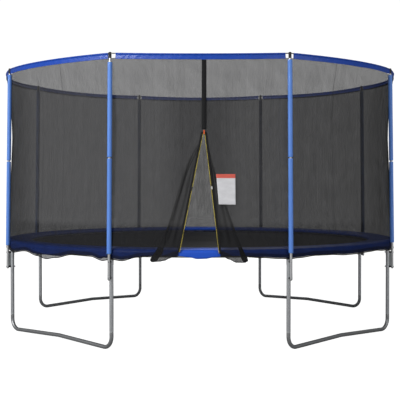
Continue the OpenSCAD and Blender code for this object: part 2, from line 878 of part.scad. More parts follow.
// Webbing sewn over the edge of the mat
module mat_rim_band() {
    color("#303030")
        rotate_extrude($fn = 192)
            translate([rim_r - rim_w, coil_z - rim_t / 2])
                difference() {
                    square([rim_w, rim_t]);
                    translate([-1, (rim_t - mat_t) / 2 - 0.1])
                        square([rim_w / 2 + 1, mat_t + 0.2]);
                }
}

// Triangular outline with a blunt tip, drawn in by the given wire width
module vring_outline(wire) {
    tip = vring_tip_r + vring_d / 2 - wire;
    base = vring_base_r - vring_d / 2 + wire;
    side = vring_w / 2 - 1.5 * wire;
    blunt = vring_d - wire / 2;
    polygon([[-side, -base], [side, -base], [blunt, -tip], [-blunt, -tip]]);
}

// Triangular rings sewn into the rim band
module mat_rings() {
    color("silver")
        for (k = [0:8 * rail_springs - 1])
            rotate([0, 0, (k + 0.5) * spring_step])
                translate([0, 0, coil_z - vring_d / 2])
                    linear_extrude(height = vring_d)
                        difference() {
                            vring_outline(0);
                            vring_outline(vring_d);
                        }
}

// Round hook above the point at radius r, from the given angle to its tip
module spring_hook(r, start) {
    $fn = 16;
    translate([0, -r, hook_z])
        rotate([0, 90, 0])
            bend(hook_r, start, 180 + hook_over, wire_d / 2, 0, 28);
}

// Close-wound springs from the rail slots to the V-rings
module springs() {
    color("silver")
        for (k = [0:8 * rail_springs - 1])
            rotate([0, 0, (k + 0.5) * spring_step]) {
                translate([0, -coil_out_r, coil_z])
                    rotate([-90, 0, 0])
                        cylinder(d = coil_d, h = coil_len);
                spring_hook(slot_r - hook_r, 90);
                spring_hook(ring_hook_r + hook_r, 90 - hook_over);
            }
}

// Crowned pad over the springs with a skirt outside the rail
module spring_pad() {
    edge_r = pad_t / 2;
    crown_w = pad_w - pad_t;
    crown_r = ((crown_w / 2) ^ 2 + pad_crown ^ 2) / (2 * pad_crown);
    mid_r = pad_in_r + pad_w / 2;
    color("mediumblue")
        rotate_extrude($fn = 192)
            union() {
                for (r = [pad_in_r + edge_r, pad_r - edge_r])
                    translate([r, pad_bottom_z + edge_r]) circle(r = edge_r);
                translate([pad_in_r + edge_r, pad_bottom_z]) square([crown_w, pad_t]);
                intersection() {
                    translate([mid_r, pad_top_z - crown_r]) circle(r = crown_r);
                    translate([pad_in_r + edge_r, pad_bottom_z + edge_r])
                        square([crown_w, pad_t + pad_crown]);
                }
                translate([skirt_in_r, skirt_z])
                    square([skirt_t, pad_bottom_z + edge_r - skirt_z]);
            }
}

for (i = SIDES) top_rail(i);
for (i = BASES) leg_base(i);
for (i = SIDES) leg_upright(i);
for (i = SIDES) pole(i);
foam_sleeves_lower();
foam_sleeves_upper();
pole_caps();
pole_spacers();
pole_brackets();
pole_bolts();
pole_nuts();
rail_screws();
ring_rods();
ring_bands();
net_bays(-half_bay - 2 * bay_deg, -half_bay);  // net_left
net_bays(half_bay + 2 * bay_deg, half_bay + 5 * bay_deg);  // net_rear
net_bays(half_bay, half_bay + 2 * bay_deg);  // net_right
net_front(-1, -flap_reach_left);  // net_front_left
net_front(1, flap_reach_right);  // net_front_right
net_hem_cord();
flap(zip_open_left, -flap_reach_left);  // door_flap_left
flap(zip_open_right, flap_reach_right);  // door_flap_right
door_strap();
door_patch();
zip_tape(-1, zip_open_left);  // zip_tape_left
zip_tape(1, zip_open_right);  // zip_tape_right
zip_slider();
zip_pull();
buckle_plug();
buckle_socket();
jump_mat();
mat_rim_band();
mat_rings();
springs();
spring_pad();
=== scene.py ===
"""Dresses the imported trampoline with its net, door, pad, bed, springs, foam and finishes.

Lengths are metres. Azimuths are degrees from -Y towards +X, as in the solids.
"""

from __future__ import annotations

import json
import logging
import math
from collections.abc import Callable, Sequence
from dataclasses import dataclass, field
from enum import Enum
from typing import TypeVar

import bpy
from mathutils import Matrix, Vector, noise
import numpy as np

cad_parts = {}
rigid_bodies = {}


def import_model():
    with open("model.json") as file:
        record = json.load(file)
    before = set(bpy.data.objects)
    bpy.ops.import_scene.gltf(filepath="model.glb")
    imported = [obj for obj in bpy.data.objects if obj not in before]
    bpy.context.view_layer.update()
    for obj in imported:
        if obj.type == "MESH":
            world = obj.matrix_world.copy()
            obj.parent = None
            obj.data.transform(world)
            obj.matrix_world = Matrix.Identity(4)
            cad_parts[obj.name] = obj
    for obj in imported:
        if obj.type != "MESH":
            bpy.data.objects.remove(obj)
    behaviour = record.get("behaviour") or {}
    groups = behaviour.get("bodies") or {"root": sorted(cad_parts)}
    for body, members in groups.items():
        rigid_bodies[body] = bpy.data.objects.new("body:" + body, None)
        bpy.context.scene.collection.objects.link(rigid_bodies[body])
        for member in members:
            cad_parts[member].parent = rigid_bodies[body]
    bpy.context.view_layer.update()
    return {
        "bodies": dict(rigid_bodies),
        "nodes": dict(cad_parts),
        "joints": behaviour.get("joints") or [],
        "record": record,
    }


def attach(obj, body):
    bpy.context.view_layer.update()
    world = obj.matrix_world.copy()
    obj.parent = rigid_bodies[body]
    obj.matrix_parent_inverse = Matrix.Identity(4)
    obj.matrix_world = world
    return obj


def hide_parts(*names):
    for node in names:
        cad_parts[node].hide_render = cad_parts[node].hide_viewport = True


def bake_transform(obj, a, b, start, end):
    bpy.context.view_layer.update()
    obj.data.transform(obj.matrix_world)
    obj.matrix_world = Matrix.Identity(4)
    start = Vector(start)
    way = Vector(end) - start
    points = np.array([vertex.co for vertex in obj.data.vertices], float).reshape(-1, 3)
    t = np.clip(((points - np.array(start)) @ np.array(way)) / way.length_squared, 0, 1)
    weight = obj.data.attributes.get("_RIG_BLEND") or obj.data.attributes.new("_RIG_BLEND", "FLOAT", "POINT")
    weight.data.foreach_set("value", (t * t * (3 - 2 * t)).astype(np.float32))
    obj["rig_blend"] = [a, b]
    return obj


LOG = logging.getLogger("trampoline")
SIDES = range(1, 9)
BAY = 45.0
HALF_BAY = BAY / 2
Colour = tuple[float, float, float]
Table = tuple[tuple[float, float], ...]
T = TypeVar("T")


def lerp(a: float, b: float, t: float) -> float:
    """Value at share t between a and b."""
    return a + (b - a) * t


def ease(low: float, high: float, value: float) -> float:
    """Smooth step from 0 at low to 1 at high."""
    t = min(1.0, max(0.0, (value - low) / (high - low)))
    return t * t * (3 - 2 * t)


def bell(x: float) -> float:
    """Bell curve that is 1 at 0 and falls off past 1."""
    return math.exp(-(x**2))


def side_az(i: int) -> float:
    """Azimuth of leg and pole number i."""
    return HALF_BAY + BAY * (i - 1)


def spot(az: float, r: float, z: float) -> Vector:
    """Point at an azimuth, radius and height."""
    a = math.radians(az)
    return Vector((r * math.sin(a), -r * math.cos(a), z))


def bay_rel(az: float) -> float:
    """Azimuth counted from the middle of the nearest bay."""
    return az - BAY * round(az / BAY)


def wander(x: float, y: float, z: float = 0.0) -> float:
    """Smooth fixed noise between about -1 and 1."""
    return noise.noise(Vector((x, y, z)))


def wrapped(az: float) -> float:
    """Azimuth between -180 and 180."""
    return (az + 180) % 360 - 180


def tint(colour: Colour, factor: float, lift: float = 0.0) -> Colour:
    """Lighter or darker colour, with no channel above 1."""
    return tuple(min(1.0, c * factor + lift) for c in colour)


def section(outline: Sequence[tuple[float, float]], v: float) -> tuple[float, float]:
    """Point of a cross-section at share v of its rows."""
    return outline[round(v * (len(outline) - 1))]


def table_value(table: Table, x: float) -> float:
    """Value of a table of (x, value) pairs at x, eased between its rows."""
    if x <= table[0][0]:
        return table[0][1]
    for (x1, v1), (x2, v2) in zip(table, table[1:]):
        if x <= x2:
            return lerp(v1, v2, ease(x1, x2, x))
    return table[-1][1]


@dataclass(frozen=True)
class Plan:
    """Driving sizes of the trampoline, the same as those of the solids."""

    frame_r: float = 2.1155
    pole_mount_r: float = 2.163
    mount_z: float = 0.7395
    pole_lean: float = math.radians(0.833)
    pole_r: float = 0.0125
    pole_split_z: float = 1.760
    pole_top_z: float = 2.665
    foam_r: float = 0.022
    foam_bottom_z: float = 0.886
    foam_gap: float = 0.012
    foam_top_gap: float = 0.014
    ring_rise: float = 0.0435
    rod_sag: float = 0.010
    door_sag: float = 0.030
    rod_r: float = 0.005
    band_drop: float = 0.048
    band_t: float = 0.0025
    band_gap: float = 0.030
    net_t: float = 0.0016
    net_bottom_z: float = 0.834
    knee_z: float = 0.9353
    low_r: float = 2.14095
    waist_r: float = 2.098
    net_overlap: float = 0.008
    seam_gap: float = 0.0004
    door_x: float = 0.036
    door_z: float = 2.000
    zip_len: float = 1.110
    zip_start: float = 0.016
    zip_open: tuple[float, float] = (11.2, 6.8)
    flap_reach: tuple[float, float] = (0.446, 0.384)
    tape_w: float = 0.024
    tape_t: float = 0.002
    strap_w: float = 0.042
    patch_w: float = 0.174
    patch_h: float = 0.275
    patch_z: float = 1.473
    springs_per_side: int = 12
    slot_r: float = 2.103
    hook_r: float = 0.009
    hook_z: float = 0.8884
    coil_z: float = 0.8844
    coil_out_r: float = 2.0868
    coil_in_r: float = 1.9448
    coil_r: float = 0.011
    wire_r: float = 0.0016
    ring_hook_r: float = 1.9286
    rim_r: float = 1.90944
    rim_w: float = 0.050
    rim_t: float = 0.006
    pad_in_r: float = 1.8795
    pad_r: float = 2.137
    pad_bottom_z: float = 0.8993
    pad_t: float = 0.018
    pad_crown: float = 0.006
    skirt_in_r: float = 2.1362
    skirt_t: float = 0.0016
    skirt_z: float = 0.846

    @property
    def ring_z(self) -> float:
        """Height of the rods' axes."""
        return self.pole_top_z + self.ring_rise

    @property
    def band_bottom_z(self) -> float:
        """Height of the bands' lower edges."""
        return self.ring_z - self.band_drop

    @property
    def net_top_z(self) -> float:
        """Height of the net's upper edge, behind the bands."""
        return self.band_bottom_z + self.net_overlap

    def pole_axis_r(self, z: float) -> float:
        """Radius of a pole's axis at height z."""
        return self.pole_mount_r - (z - self.mount_z) * math.tan(self.pole_lean)

    @property
    def ring_pole_r(self) -> float:
        """Radius of the rods' arcs, which run through the poles' axes."""
        return self.pole_axis_r(self.ring_z)

    @property
    def ring_chord_r(self) -> float:
        """Distance of a rod's chord from the middle."""
        return self.ring_pole_r * math.cos(math.radians(HALF_BAY))

    def rod_tilt(self, mid: float) -> float:
        """Angle by which the rod over the bay at azimuth mid droops."""
        sag = self.rod_sag if mid % 360 else self.door_sag
        return math.asin(sag / (self.ring_pole_r - self.ring_chord_r))

    def rod_frame(self, mid: float) -> Matrix:
        """Frame of a drooping rod, with the centre of its arc as origin."""
        return (Matrix.Rotation(math.radians(mid), 4, "Z")
                @ Matrix.Translation((0, -self.ring_chord_r, self.ring_z))
                @ Matrix.Rotation(self.rod_tilt(mid), 4, "X")
                @ Matrix.Translation((0, self.ring_chord_r, 0)))

    def ring_r(self, az: float) -> float:
        """Radius of the rods' axes at an azimuth."""
        mid = BAY * round(az / BAY)
        chord = self.ring_chord_r / math.cos(math.radians(az - mid))
        return lerp(chord, self.ring_pole_r, math.cos(self.rod_tilt(mid)))

    def net_head_r(self, az: float) -> float:
        """Radius of the net's upper edge."""
        tied = self.pole_axis_r(self.net_top_z) - self.foam_r - 0.002
        free = self.ring_r(az) - self.band_t / 2 - self.seam_gap
        return lerp(tied, free, ease(0.0, BAY / 12, HALF_BAY - abs(bay_rel(az))))

    def net_r(self, az: float, z: float) -> float:
        """Outer radius of the net."""
        if z <= self.knee_z:
            return self.low_r
        if z <= self.door_z:
            return lerp(self.low_r, self.waist_r,
                        (z - self.knee_z) / (self.door_z - self.knee_z))
        t = (z - self.door_z) / (self.net_top_z - self.door_z)
        return lerp(self.waist_r, self.net_head_r(az), t**1.5)

    @property
    def door_slope(self) -> float:
        """Outward run of the door plane for each unit of drop."""
        return (self.low_r - self.waist_r) / (self.door_z - self.knee_z)

    def door_y(self, z: float) -> float:
        """Y of the door plane at height z."""
        return -(self.waist_r + (self.door_z - z) * self.door_slope)

    def door_frame(self) -> Matrix:
        """Frame of the door plane, with its origin at the zip's upper end."""
        return (Matrix.Translation((self.door_x, self.door_y(self.door_z), self.door_z))
                @ Matrix.Rotation(-math.atan(self.door_slope), 4, "X"))

    def pole_frame(self, az: float) -> Matrix:
        """Frame whose Z runs along a leaning pole's axis, with heights kept."""
        return (Matrix.Rotation(math.radians(az), 4, "Z")
                @ Matrix.Translation((0, -self.pole_mount_r, self.mount_z))
                @ Matrix.Rotation(-self.pole_lean, 4, "X")
                @ Matrix.Translation((0, 0, -self.mount_z)))


PLAN = Plan()


# ---- Shader graph ----


class Wire:
    """A shader socket on which Python arithmetic adds Math nodes."""

    def __init__(self, graph: Graph, socket: bpy.types.NodeSocket) -> None:
        """Keeps the graph that new nodes go into and the socket itself."""
        self.graph = graph
        self.socket = socket

    def math(self, operation: str, first: Wire | float, second: Wire | float = 0.0) -> Wire:
        """Adds one Math node.

        Args:
            operation: The Math node's operation.
            first: First operand.
            second: Second operand, unused by operations on one value.

        Returns:
            The node's result.
        """
        return self.graph.node("ShaderNodeMath", {"operation": operation},
                               {0: first, 1: second})

    def __add__(self, other: Wire | float) -> Wire:
        """Sum."""
        return self.math("ADD", self, other)

    def __radd__(self, other: float) -> Wire:
        """Sum with a number in front."""
        return self.math("ADD", other, self)

    def __sub__(self, other: Wire | float) -> Wire:
        """Difference."""
        return self.math("SUBTRACT", self, other)

    def __rsub__(self, other: float) -> Wire:
        """Difference from a number."""
        return self.math("SUBTRACT", other, self)

    def __mul__(self, other: Wire | float) -> Wire:
        """Product."""
        return self.math("MULTIPLY", self, other)

    def __rmul__(self, other: float) -> Wire:
        """Product with a number in front."""
        return self.math("MULTIPLY", other, self)

    def __truediv__(self, other: Wire | float) -> Wire:
        """Quotient."""
        return self.math("DIVIDE", self, other)

    def __abs__(self) -> Wire:
        """Absolute value."""
        return self.math("ABSOLUTE", self)

    def fraction(self) -> Wire:
        """Part after the decimal point."""
        return self.math("FRACT", self)

    def sine(self) -> Wire:
        """Sine of the value in radians."""
        return self.math("SINE", self)

    def largest(self, other: Wire | float) -> Wire:
        """Larger of two values."""
        return self.math("MAXIMUM", self, other)

    def step(self, low: float, high: float) -> Wire:
        """Smooth step from 0 at low to 1 at high."""
        return self.graph.node(
            "ShaderNodeMapRange", {"interpolation_type": "SMOOTHSTEP"},
            {"Value": self, "From Min": low, "From Max": high})

    def dash(self, pitch: float, share: float) -> Wire:
        """1 on a share of each pitch, soft at the edges, else 0."""
        wave = abs((self / pitch).fraction() - 0.5) * 2
        return 1 - wave.step(share - 0.12, share + 0.12)


class Graph:
    """Node tree of one material, world or light, built by one node method."""

    def __init__(self, tree: bpy.types.NodeTree) -> None:
        """Empties the tree."""
        self.tree = tree
        tree.nodes.clear()

    def node(self, kind: str, settings: dict[str, object] | None = None,
             inputs: dict[str | int, object] | None = None,
             output: str | int = 0) -> Wire:
        """Adds a node.

        Args:
            kind: Blender's name of the node's type.
            settings: Properties set first.
            inputs: Sockets by name or place, as numbers, colours or wires.
            output: The output to return.

        Returns:
            The chosen output, or the node's first input where it has no output.
        """
        made = self.tree.nodes.new(kind)
        for key, value in (settings or {}).items():
            setattr(made, key, value)
        for key, value in (inputs or {}).items():
            socket = made.inputs[key]
            if isinstance(value, Wire):
                self.tree.links.new(value.socket, socket)
            elif isinstance(value, tuple) and len(value) == 3 and socket.type == "RGBA":
                socket.default_value = (*value, 1.0)
            else:
                socket.default_value = value
        return Wire(self, made.outputs[output] if made.outputs else made.inputs[0])

    def place(self) -> Wire:
        """Object coordinates."""
        return self.node("ShaderNodeTexCoord", output="Object")

    def parts(self, vector: Wire, count: int = 3) -> tuple[Wire, ...]:
        """First components of a vector."""
        return tuple(self.node("ShaderNodeSeparateXYZ", inputs={0: vector}, output=i)
                     for i in range(count))

    def cloth(self) -> tuple[Wire, ...]:
        """Own UV map in metres along the cloth and across it."""
        return self.parts(self.node("ShaderNodeUVMap", {"uv_map": "UVMap"}), 2)

    def stretch(self, x: Wire | float, y: Wire | float, z: Wire | float = 0.0) -> Wire:
        """Vector of three values."""
        return self.node("ShaderNodeCombineXYZ", inputs={0: x, 1: y, 2: z})

    def cloud(self, where: Wire, scale: float, detail: float = 2.0,
              rough: float = 0.5) -> Wire:
        """Fractal noise between 0 and 1."""
        return self.node("ShaderNodeTexNoise", inputs={
            "Vector": where, "Scale": scale, "Detail": detail, "Roughness": rough})

    def blend(self, share: Wire | float, low: Wire | Colour, high: Wire | Colour) -> Wire:
        """Colour between low and high."""
        return self.node("ShaderNodeMix", {"data_type": "RGBA"},
                         {"Factor": share, 6: low, 7: high}, output=2)

    def relief(self, height: Wire, depth: float, strength: float = 1.0) -> Wire:
        """Normal of a height field with the given depth in metres."""
        return self.node("ShaderNodeBump", inputs={
            "Height": height, "Distance": depth, "Strength": strength})

    def surface(self, **sockets: object) -> None:
        """Ends the tree in one Principled surface with the given sockets."""
        shader = self.node("ShaderNodeBsdfPrincipled",
                           inputs={k.replace("_", " "): v for k, v in sockets.items()})
        self.node("ShaderNodeOutputMaterial", inputs={"Surface": shader})


# ---- Finishes ----


@dataclass(frozen=True)
class Finish:
    """A named surface finish that paints itself into a material once."""

    name: str

    def paint(self, g: Graph) -> None:
        """Builds the node tree.

        Args:
            g: The empty graph of the material.
        """
        raise NotImplementedError

    def material(self) -> bpy.types.Material:
        """Returns the material of this finish, made at its first use."""
        found = bpy.data.materials.get(self.name)
        if found is None:
            found = bpy.data.materials.new(self.name)
            found.use_nodes = True
            self.paint(Graph(found.node_tree))
        return found


@dataclass(frozen=True)
class Galvanised(Finish):
    """Zinc-coated tube with a soft spangle, drawing lines and dull spots."""

    tone: Colour = (0.60, 0.62, 0.64)
    metallic: float = 0.85
    rough: float = 0.34
    spangle: float = 55.0

    def paint(self, g: Graph) -> None:
        """Mixes spangle and haze into tone, gloss and relief."""
        where = g.place()
        flakes = g.node("ShaderNodeTexVoronoi", inputs={
            "Vector": where, "Scale": self.spangle}, output="Color")
        shade = g.node("ShaderNodeSeparateColor", inputs={0: flakes})
        haze = g.cloud(where, 9.0, 4.0)
        fine = g.cloud(where, 420.0, 2.0)
        tone = g.blend(haze * 0.6 + shade * 0.25, tint(self.tone, 0.82), tint(self.tone, 1.12))
        g.surface(Base_Color=tone, Metallic=self.metallic,
                  Roughness=self.rough + haze * 0.16 - shade * 0.05,
                  Normal=g.relief(fine * 0.5 + shade * 0.3, 0.0004, 0.35))


@dataclass(frozen=True)
class Zinc(Finish):
    """Bright plated steel of bolts, rings and springs."""

    tone: Colour = (0.66, 0.67, 0.69)
    rough: float = 0.28

    def paint(self, g: Graph) -> None:
        """Adds handling marks to a plated surface."""
        where = g.place()
        marks = g.cloud(where, 60.0, 5.0, 0.65)
        tone = g.blend(marks, tint(self.tone, 0.8), self.tone)
        g.surface(Base_Color=tone, Metallic=1.0, Roughness=self.rough + marks * 0.2,
                  Normal=g.relief(g.cloud(where, 700.0), 0.0002, 0.3))


@dataclass(frozen=True)
class Moulded(Finish):
    """Moulded plastic with a fine grain and rubbed high spots."""

    tone: Colour = (0.018, 0.018, 0.020)
    rough: float = 0.48

    def paint(self, g: Graph) -> None:
        """Adds grain and a slight lightening to the plastic."""
        where = g.place()
        rub = g.cloud(where, 35.0, 4.0)
        grain = g.cloud(where, 900.0, 2.0)
        tone = g.blend(rub.step(0.45, 0.8) * 0.5, self.tone, tint(self.tone, 1.7, 0.01))
        g.surface(Base_Color=tone, Roughness=self.rough + grain * 0.14,
                  Normal=g.relief(grain, 0.0002, 0.4))


@dataclass(frozen=True)
class GlassFibre(Finish):
    """Pultruded glass fibre rod with lengthwise fibres."""

    tone: Colour = (0.035, 0.037, 0.040)

    def paint(self, g: Graph) -> None:
        """Draws faint fibres round the ring."""
        where = g.place()
        fibre = g.cloud(where, 160.0, 6.0, 0.7)
        g.surface(Base_Color=g.blend(fibre, self.tone, tint(self.tone, 2.4)),
                  Roughness=0.3 + fibre * 0.2, Coat_Weight=0.3,
                  Normal=g.relief(fibre, 0.0003, 0.4))


@dataclass(frozen=True)
class FoamSkin(Finish):
    """Foam sleeve in a thin skin with fine pores and faint creases."""

    tone: Colour = (0.125, 0.310, 0.88)

    def paint(self, g: Graph) -> None:
        """Varies tone and sheen with pores and lengthwise creases."""
        along, across = g.cloth()
        where = g.place()
        crease = g.cloud(g.stretch(along * 30.0, across * 3.0), 4.0, 4.0)
        pores = g.cloud(where, 620.0, 2.0)
        haze = g.cloud(where, 5.0, 3.0)
        tone = g.blend(haze * 0.7 + crease * 0.3, tint(self.tone, 0.86), tint(self.tone, 1.1))
        g.surface(Base_Color=tone, Roughness=0.42 + haze * 0.12, Coat_Weight=0.12,
                  Normal=g.relief(crease * 0.5 + pores * 0.25, 0.0012, 0.45))


@dataclass(frozen=True)
class CoatedCloth(Finish):
    """Glossy coated cloth with a weave that shows through and short creases."""

    tone: Colour = (0.022, 0.085, 0.40)
    weave: float = 0.0016
    rough: float = 0.30

    def paint(self, g: Graph) -> None:
        """Lays weave and creases under the coat."""
        along, across = g.cloth()
        warp = (along * (2 * math.pi / self.weave)).sine()
        weft = (across * (2 * math.pi / self.weave)).sine()
        crease = g.cloud(g.stretch(along * 26.0, across * 9.0), 1.0, 5.0, 0.6)
        haze = g.cloud(g.stretch(along, across), 3.0, 3.0)
        tone = g.blend(haze * 0.6 + crease * 0.4, tint(self.tone, 0.8), tint(self.tone, 1.25))
        g.surface(Base_Color=tone, Roughness=self.rough + haze * 0.12, Coat_Weight=0.12,
                  Specular_IOR_Level=0.35,
                  Normal=g.relief(crease + (warp * weft) * 0.04, 0.006, 0.5))


@dataclass(frozen=True)
class NetMesh(Finish):
    """Knitted net: dark threads, small holes, and painted shade low down, at the sides and inside."""

    tone: Colour = (0.047, 0.047, 0.049)
    # foot, knee and inside are painted shade: the net's colour low down, below the knee, and on the rear net
    # seen from inside.
    foot: Colour = (0.0130, 0.0130, 0.0145)
    knee: Colour = (0.005, 0.005, 0.007)
    inside: Colour = (0.006, 0.006, 0.0065)
    hem_h: float = 0.042
    pitch: float = 0.0042
    hole: float = 0.68
    thread: float = 0.24
    seam_pitch: float = 0.0
    streak: float = 0.12
    crumple: float = 0.12
    hem_cover: float = 0.14
    seam_cover: float = 0.12
    seam_w: float = 0.0045
    knee_z: tuple[float, float] = (0.945, 0.965)
    foot_z: tuple[float, float] = (1.11, 1.19)
    front_y: tuple[float, float] = (-0.9, -0.2)
    front_low_thin: float = 0.19
    rear_y: tuple[float, float] = (0.4, 0.9)
    rear_middle_x: tuple[float, float] = (0.20, 0.60)
    rear_middle_cover: float = 0.12
    rear_thin: float = 0.05
    inside_y: tuple[float, float] = (-0.5, 0.4)
    # Painted shade: the net is darkened towards dark at the flanks and on the right side, away from the key
    # light.
    flank_x: tuple[float, float] = (1.62, 1.88)
    flank_dim: float = 0.55
    right_x: tuple[float, float] = (0.9, 2.0)
    right_dim: float = 0.40
    dark: Colour = (0.002, 0.002, 0.002)

    def paint(self, g: Graph) -> None:
        """Turns threads, streaks, creases and seams into colour and cover, and paints shade low down, at the
        sides and inside.
        """
        along, across = g.cloth()
        x, y, z = g.parts(g.place())
        drift = g.cloud(g.stretch(along * 2.0, across * 2.0), 2.0, 2.0)
        wale = abs((along / self.pitch + drift * 0.8).fraction() - 0.5).step(0.20, 0.36)
        course = abs((across / self.pitch).fraction() - 0.5).step(0.26, 0.42)
        thread = wale.largest(course)
        streaks = g.cloud(g.stretch(along * 34.0 + drift * 3.0, across * 1.1), 1.0, 4.0, 0.62)
        crumple = g.cloud(g.stretch(along * 5.0 + across * 3.5, across * 2.4 - along), 2.0, 4.0)
        cover = (self.hole + thread * self.thread + (streaks - 0.5) * self.streak
                 + (crumple - 0.5) * self.crumple)
        if self.seam_pitch:
            sway = g.cloud(g.stretch(0.0, across), 3.0) * 0.03
            seam = ((along + sway) / self.seam_pitch).fraction()
            cover = cover + (1 - abs(seam - 0.5).step(0.0, self.seam_w)) * self.seam_cover
        knee = z.step(*self.knee_z)
        cover = cover + (1 - across.step(self.hem_h - 0.004, self.hem_h)) * self.hem_cover
        cover = cover - (1 - knee) * (1 - y.step(*self.front_y)) * self.front_low_thin
        middle = (1 - abs(x).step(*self.rear_middle_x)) * self.rear_middle_cover
        cover = cover + (middle - self.rear_thin) * y.step(*self.rear_y)
        tone = g.blend(streaks * 0.5 + crumple * 0.5, tint(self.tone, 0.45), tint(self.tone, 1.6))
        # Painted shade: darker low down, darker still below the knee, and darker on the rear net seen from
        # inside.
        tone = g.blend(z.step(*self.foot_z), self.foot, tone)
        tone = g.blend(knee, self.knee, tone)
        tone = g.blend(y.step(*self.inside_y), tone, self.inside)
        # Painted shade at the flanks and on the right side, away from the key light.
        dim = (abs(x).step(*self.flank_x) * self.flank_dim
               + x.step(*self.right_x) * self.right_dim)
        g.surface(Base_Color=g.blend(dim, tone, self.dark), Roughness=0.72,
                  Alpha=cover, Specular_IOR_Level=0.2, Normal=g.relief(thread, 0.0006, 0.5))


@dataclass(frozen=True)
class Webbing(Finish):
    """Woven webbing with ribs, edge lines and rows of stitches."""

    tone: Colour = (0.010, 0.010, 0.011)
    thread: Colour = (0.035, 0.035, 0.038)
    width: float = 0.042
    rib: float = 0.0018
    rough: float = 0.62

    def paint(self, g: Graph) -> None:
        """Weaves ribs and stitches."""
        along, across = g.cloth()
        rib = (across * (2 * math.pi / self.rib)).sine() * 0.5 + 0.5
        twill = ((along + across) * (2 * math.pi / self.rib)).sine() * 0.5 + 0.5
        edge = abs(along / self.width - 0.5)
        stitch = (1 - abs(edge - 0.40).step(0.006, 0.02)) * across.dash(0.004, 0.6)
        wear = g.cloud(g.stretch(along, across), 30.0, 4.0)
        tone = g.blend(rib * twill * 0.6 + wear * 0.3, self.tone, tint(self.tone, 1.9))
        g.surface(Base_Color=g.blend(stitch, tone, self.thread),
                  Roughness=self.rough + wear * 0.15, Specular_IOR_Level=0.2,
                  Normal=g.relief(rib * 0.5 + twill * 0.3 + stitch * 0.8, 0.0008, 0.6))


@dataclass(frozen=True)
class MatWeave(Finish):
    """Tightly woven bouncing fabric with a matt shine and scuffed patches."""

    tone: Colour = (0.012, 0.012, 0.013)
    rough: float = 0.60
    weave: float = 0.0036

    def paint(self, g: Graph) -> None:
        """Weaves the mat in two directions."""
        along, across = g.cloth()
        warp = (along * (2 * math.pi / self.weave)).sine()
        weft = (across * (2 * math.pi / self.weave)).sine()
        scuff = g.cloud(g.stretch(along, across), 2.2, 5.0, 0.6)
        tone = g.blend(scuff.step(0.35, 0.8), self.tone, tint(self.tone, 2.1))
        g.surface(Base_Color=tone, Roughness=self.rough - scuff * 0.14,
                  Normal=g.relief(warp * weft * 0.5 + 0.5, 0.0008, 0.5))


@dataclass(frozen=True)
class ZipTeeth(Finish):
    """Moulded zip teeth, bright with a little wear."""

    tone: Colour = (0.92, 0.74, 0.10)

    def paint(self, g: Graph) -> None:
        """Tints single teeth."""
        where = g.place()
        wear = g.cloud(where, 14.0, 4.0, 0.6).step(0.36, 0.52)
        g.surface(Base_Color=g.blend(wear, tint(self.tone, 0.35), self.tone),
                  Roughness=0.34 + wear * 0.15, Coat_Weight=0.1,
                  Normal=g.relief(g.cloud(where, 800.0), 0.0002, 0.3))


@dataclass(frozen=True)
class PlainCard(Finish):
    """White coated cloth of the blank patch with a bound upper hem."""

    tone: Colour = (0.90, 0.90, 0.93)
    hem: Colour = (0.80, 0.135, 0.095)
    height: float = 0.275
    hem_h: float = 0.036
    weave: float = 3000.0

    def paint(self, g: Graph) -> None:
        """Draws the hem and faint handling creases, with painted shade along the creases."""
        along, across = g.cloth()
        weave = ((along + across) * self.weave).sine() * ((along - across) * self.weave).sine()
        crease = g.cloud(g.stretch(along * 5.0, across * 14.0), 1.4, 4.0)
        bound = across.step(self.height - self.hem_h - 0.001, self.height - self.hem_h)
        # Painted shade: the cloth is darker along the creases.
        base = g.blend(crease.step(0.3, 0.75), tint(self.tone, 0.86), self.tone)
        g.surface(Base_Color=g.blend(bound, base, self.hem), Roughness=0.46 + crease * 0.1,
                  Normal=g.relief(crease + weave * 0.03, 0.004, 0.4))


GALVANISED = Galvanised("galvanised_tube")
# Painted shade: the base tubes are a darker copy of the leg steel, for the shade near the floor.
SHADED_BASE_TUBE = Galvanised("galvanised_base", tone=(0.40, 0.41, 0.42), rough=0.38)
POLE_TUBE = Galvanised("galvanised_pole", tone=(0.68, 0.69, 0.70), rough=0.36)
BRACKET = Galvanised("bracket_steel", tone=(0.30, 0.32, 0.33), rough=0.42, spangle=90.0)
ZINC = Zinc("zinc_plated")
SPRING_ZINC = Zinc("spring_zinc", tone=(0.58, 0.59, 0.61), rough=0.33)
BLACK_PLASTIC = Moulded("black_plastic")
GREY_PLASTIC = Moulded("grey_plastic", tone=(0.52, 0.53, 0.54))
DARK_METAL = Moulded("zip_metal", tone=(0.03, 0.03, 0.032), rough=0.35)
GLASS_FIBRE = GlassFibre("glass_fibre")
FOAM = FoamSkin("foam_skin")
BAND_CLOTH = CoatedCloth("band_cloth", tone=(0.010, 0.075, 0.50))
# Painted light: the pad cloth is a lighter copy of the band cloth, for the pad's top lit from above.
LIT_PAD_CLOTH = CoatedCloth("pad_cloth", tone=(0.014, 0.100, 0.66), rough=0.34)
NET = NetMesh("net_mesh", seam_pitch=1.10)
FRONT_NET = NetMesh("front_mesh")
FLAP_NET = NetMesh("flap_mesh", hole=0.82, thread=0.18, tone=(0.044, 0.044, 0.045),
                   knee=(0.009, 0.009, 0.010), hem_h=0.055)
BLACK_WEBBING = Webbing("black_webbing")
RIM_WEBBING = Webbing("rim_webbing", width=0.05, tone=(0.020, 0.020, 0.022))
TAPE_WEBBING = Webbing("tape_webbing", width=0.024, rib=0.0014)
HEM = Webbing("hem_webbing", width=0.02, tone=(0.010, 0.010, 0.011))
PULL_WEBBING = Webbing("pull_webbing", width=0.012, tone=(0.70, 0.10, 0.030),
                       thread=(0.85, 0.3, 0.12))
MAT = MatWeave("mat_weave")
TEETH = ZipTeeth("zip_teeth")
CARD = PlainCard("plain_card")


# ---- Modelling bench ----


